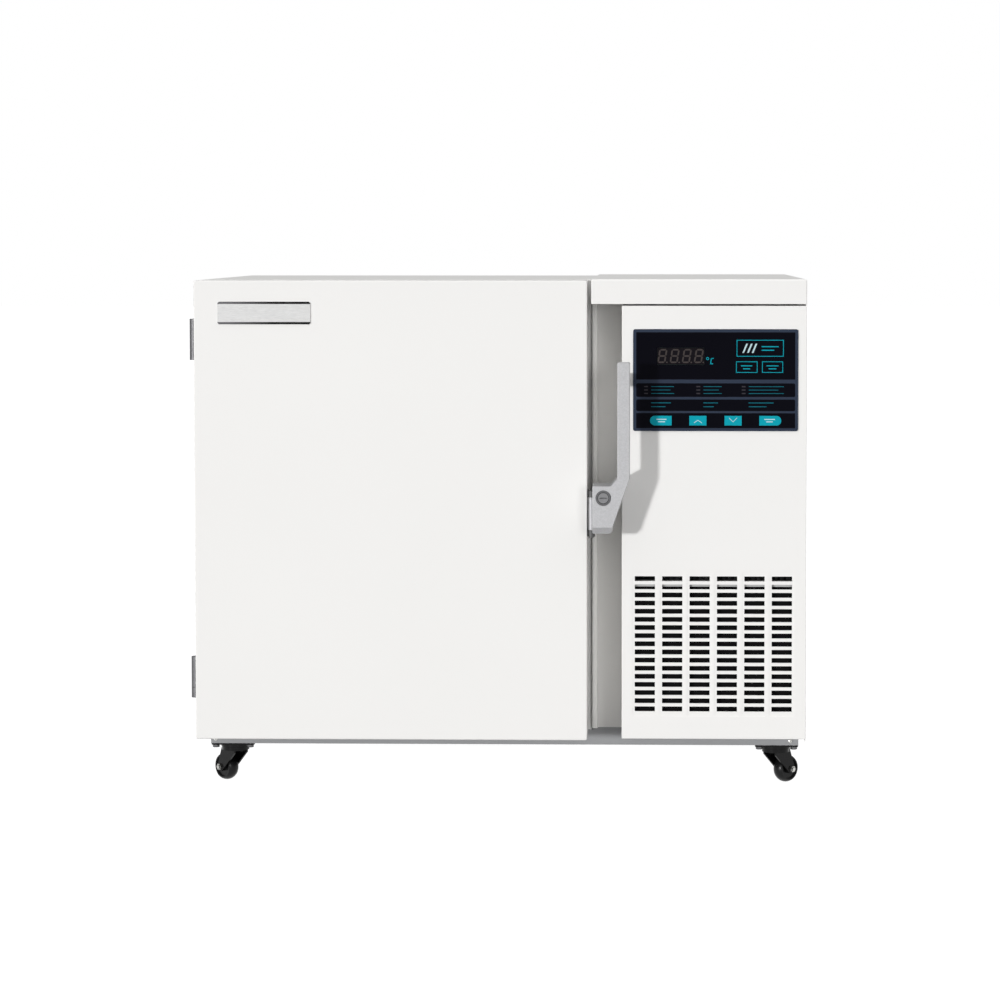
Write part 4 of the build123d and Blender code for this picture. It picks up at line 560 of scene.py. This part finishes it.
# Painted shade: a near-black ring over the gap between the lock plug and its bezel
plug_x, plug_z, plug_face = DOOR_RIGHT + 23.5, 435.0, FRONT - 55.6
printed("lock_gap_shade", ring(plug_x, plug_z, 7.3, 8.15, 32), plug_face - LAYER, painted_recess_shade, "lock_core")

# Caster plate nuts in dark steel and axle nuts in bright zinc, over the modelled hexagons
NUT = 5.12
plate_nut_profile = ((NUT, -0.1), (NUT, 3.3), (4.5, 4.15), (2.9, 4.2))
axle_nut_profile = ((NUT, 0), (NUT, 2.6), (4.5, 3.2), (3.15, 3.2), (3.1, 4.1), (2.5, 4.3))


def plate_nuts(shape):
    for x, y, _ in CASTERS.values():
        for dx in (-BOLT_HALF, BOLT_HALF):
            for dy in (-BOLT_HALF, BOLT_HALF):
                lathe(shape, plate_nut_profile, frame_at((x + dx, y + dy, PLATE_UNDERSIDE), (0, 0, -1)), 6)


piece("caster_plate_nuts", plate_nuts, steel_dark, "cabinet")
for caster_name, (x, y, angle) in CASTERS.items():
    heading = Vector((math.cos(math.radians(angle)), math.sin(math.radians(angle)), 0))
    across = Vector((heading.y, -heading.x, 0))
    hub = Vector((x, y, AXLE_HEIGHT)) + heading * TRAIL

    def axle_nuts(shape):
        for side in (1, -1):
            matrix = frame_at(hub + across * side * AXLE_END, across * side)
            lathe(shape, axle_nut_profile, matrix, 6)

    piece(f"axle_nuts_{caster_name}", axle_nuts, zinc, f"swivel_{caster_name}")

# Floor: pale paper for the light that falls on it, white where it is seen
FLOOR_HALF = 30
floor_corners = [(-FLOOR_HALF, -FLOOR_HALF, 0), (FLOOR_HALF, -FLOOR_HALF, 0), (FLOOR_HALF, FLOOR_HALF, 0),
                 (-FLOOR_HALF, FLOOR_HALF, 0)]
floor_mesh = bpy.data.meshes.new("floor")
floor_mesh.from_pydata(floor_corners, [], [(0, 1, 2, 3)])
floor = bpy.data.objects.new("floor", floor_mesh)
bpy.context.scene.collection.objects.link(floor)
floor_shade = Shade("floor_paper", roughness=0.9, specular=0.1)
paper = floor_shade.noise(3, detail=2.0)
floor_shade.colour(floor_shade.ramp(paper, [(0.3, (0.15, 0.15, 0.15, 1)), (0.7, (0.16, 0.16, 0.16, 1))]))
path = floor_shade.node("ShaderNodeLightPath")
seen = floor_shade.math("MAXIMUM", path.outputs["Is Camera Ray"], path.outputs["Is Glossy Ray"])
seen = floor_shade.math("MAXIMUM", seen, path.outputs["Is Transmission Ray"])
glow = floor_shade.node("ShaderNodeEmission")
floor_shade.link(floor_shade.math("MULTIPLY", seen, 0.99), glow.inputs["Strength"])
both = floor_shade.node("ShaderNodeAddShader")
floor_shade.link(floor_shade.shader.outputs["BSDF"], both.inputs[0])
floor_shade.link(glow.outputs["Emission"], both.inputs[1])
floor_shade.link(both.outputs["Shader"], floor_shade.tree.nodes["Material Output"].inputs["Surface"])
floor_mesh.materials.append(floor_shade.material)

# World: white for the camera, and for the light a dome that grows brighter towards the top
SKY_LOW, SKY_RISE = 0.17, 0.86
world = bpy.data.worlds.new("studio")
bpy.context.scene.world = world
world.use_nodes = True
sky = world.node_tree.nodes
sky_links = world.node_tree.links


def sky_math(operation, source, *values):
    """Math node of the world with a source and fixed values after it."""
    made = sky.new("ShaderNodeMath")
    made.operation = operation
    sky_links.new(source, made.inputs[0])
    for socket, value in zip(made.inputs[1:], values):
        socket.default_value = value
    return made.outputs["Value"]


soft = sky["Background"]
soft.inputs["Color"].default_value = (1, 1, 1, 1)
sky_parts = sky.new("ShaderNodeSeparateXYZ")
sky_links.new(sky.new("ShaderNodeTexCoord").outputs["Generated"], sky_parts.inputs["Vector"])
height_share = sky_math("MAXIMUM", sky_parts.outputs["Z"], 0.0)
sky_links.new(sky_math("MULTIPLY_ADD", height_share, SKY_RISE, SKY_LOW), soft.inputs["Strength"])
white_sky = sky.new("ShaderNodeBackground")
white_sky.inputs["Color"].default_value = (1, 1, 1, 1)
white_sky.inputs["Strength"].default_value = 1.0
choose = sky.new("ShaderNodeMixShader")
sky_links.new(sky.new("ShaderNodeLightPath").outputs["Is Camera Ray"], choose.inputs["Fac"])
sky_links.new(soft.outputs["Background"], choose.inputs[1])
sky_links.new(white_sky.outputs["Background"], choose.inputs[2])
sky_links.new(choose.outputs["Shader"], sky["World Output"].inputs["Surface"])


def sun(name, energy, spread, travel):
    """Sun lamp whose light travels along a direction, with a spread in degrees."""
    lamp = bpy.data.lights.new(name, "SUN")
    lamp.energy = energy
    lamp.angle = math.radians(spread)
    made = bpy.data.objects.new(name, lamp)
    made.rotation_mode = "QUATERNION"
    made.rotation_quaternion = Vector(travel).to_track_quat("-Z", "Y")
    bpy.context.scene.collection.objects.link(made)


sun("key", 1.93, 5, (0.76, 1.0, -0.10))
sun("side", 0.54, 12, (-0.36, 1.0, -0.1))

# Camera at the photograph's eye point, with a small shift for its framing
EYE = (0.2144, -4.2524, 0.7929)
YAW, PITCH = math.radians(-1.305), math.radians(-2.406)
camera_data = bpy.data.cameras.new("camera")
camera_data.lens = 101.39
camera_data.sensor_width = 36
camera_data.shift_x = -0.08
camera_data.shift_y = -0.14
camera_data.clip_start = 0.1
camera_data.clip_end = 100
camera = bpy.data.objects.new("camera", camera_data)
camera.location = EYE
aim = Vector((math.sin(YAW) * math.cos(PITCH), math.cos(YAW) * math.cos(PITCH), math.sin(PITCH)))
camera.rotation_mode = "QUATERNION"
camera.rotation_quaternion = aim.to_track_quat("-Z", "Y")
bpy.context.scene.collection.objects.link(camera)
bpy.context.scene.camera = camera
bpy.context.scene.view_settings.view_transform = "Standard"
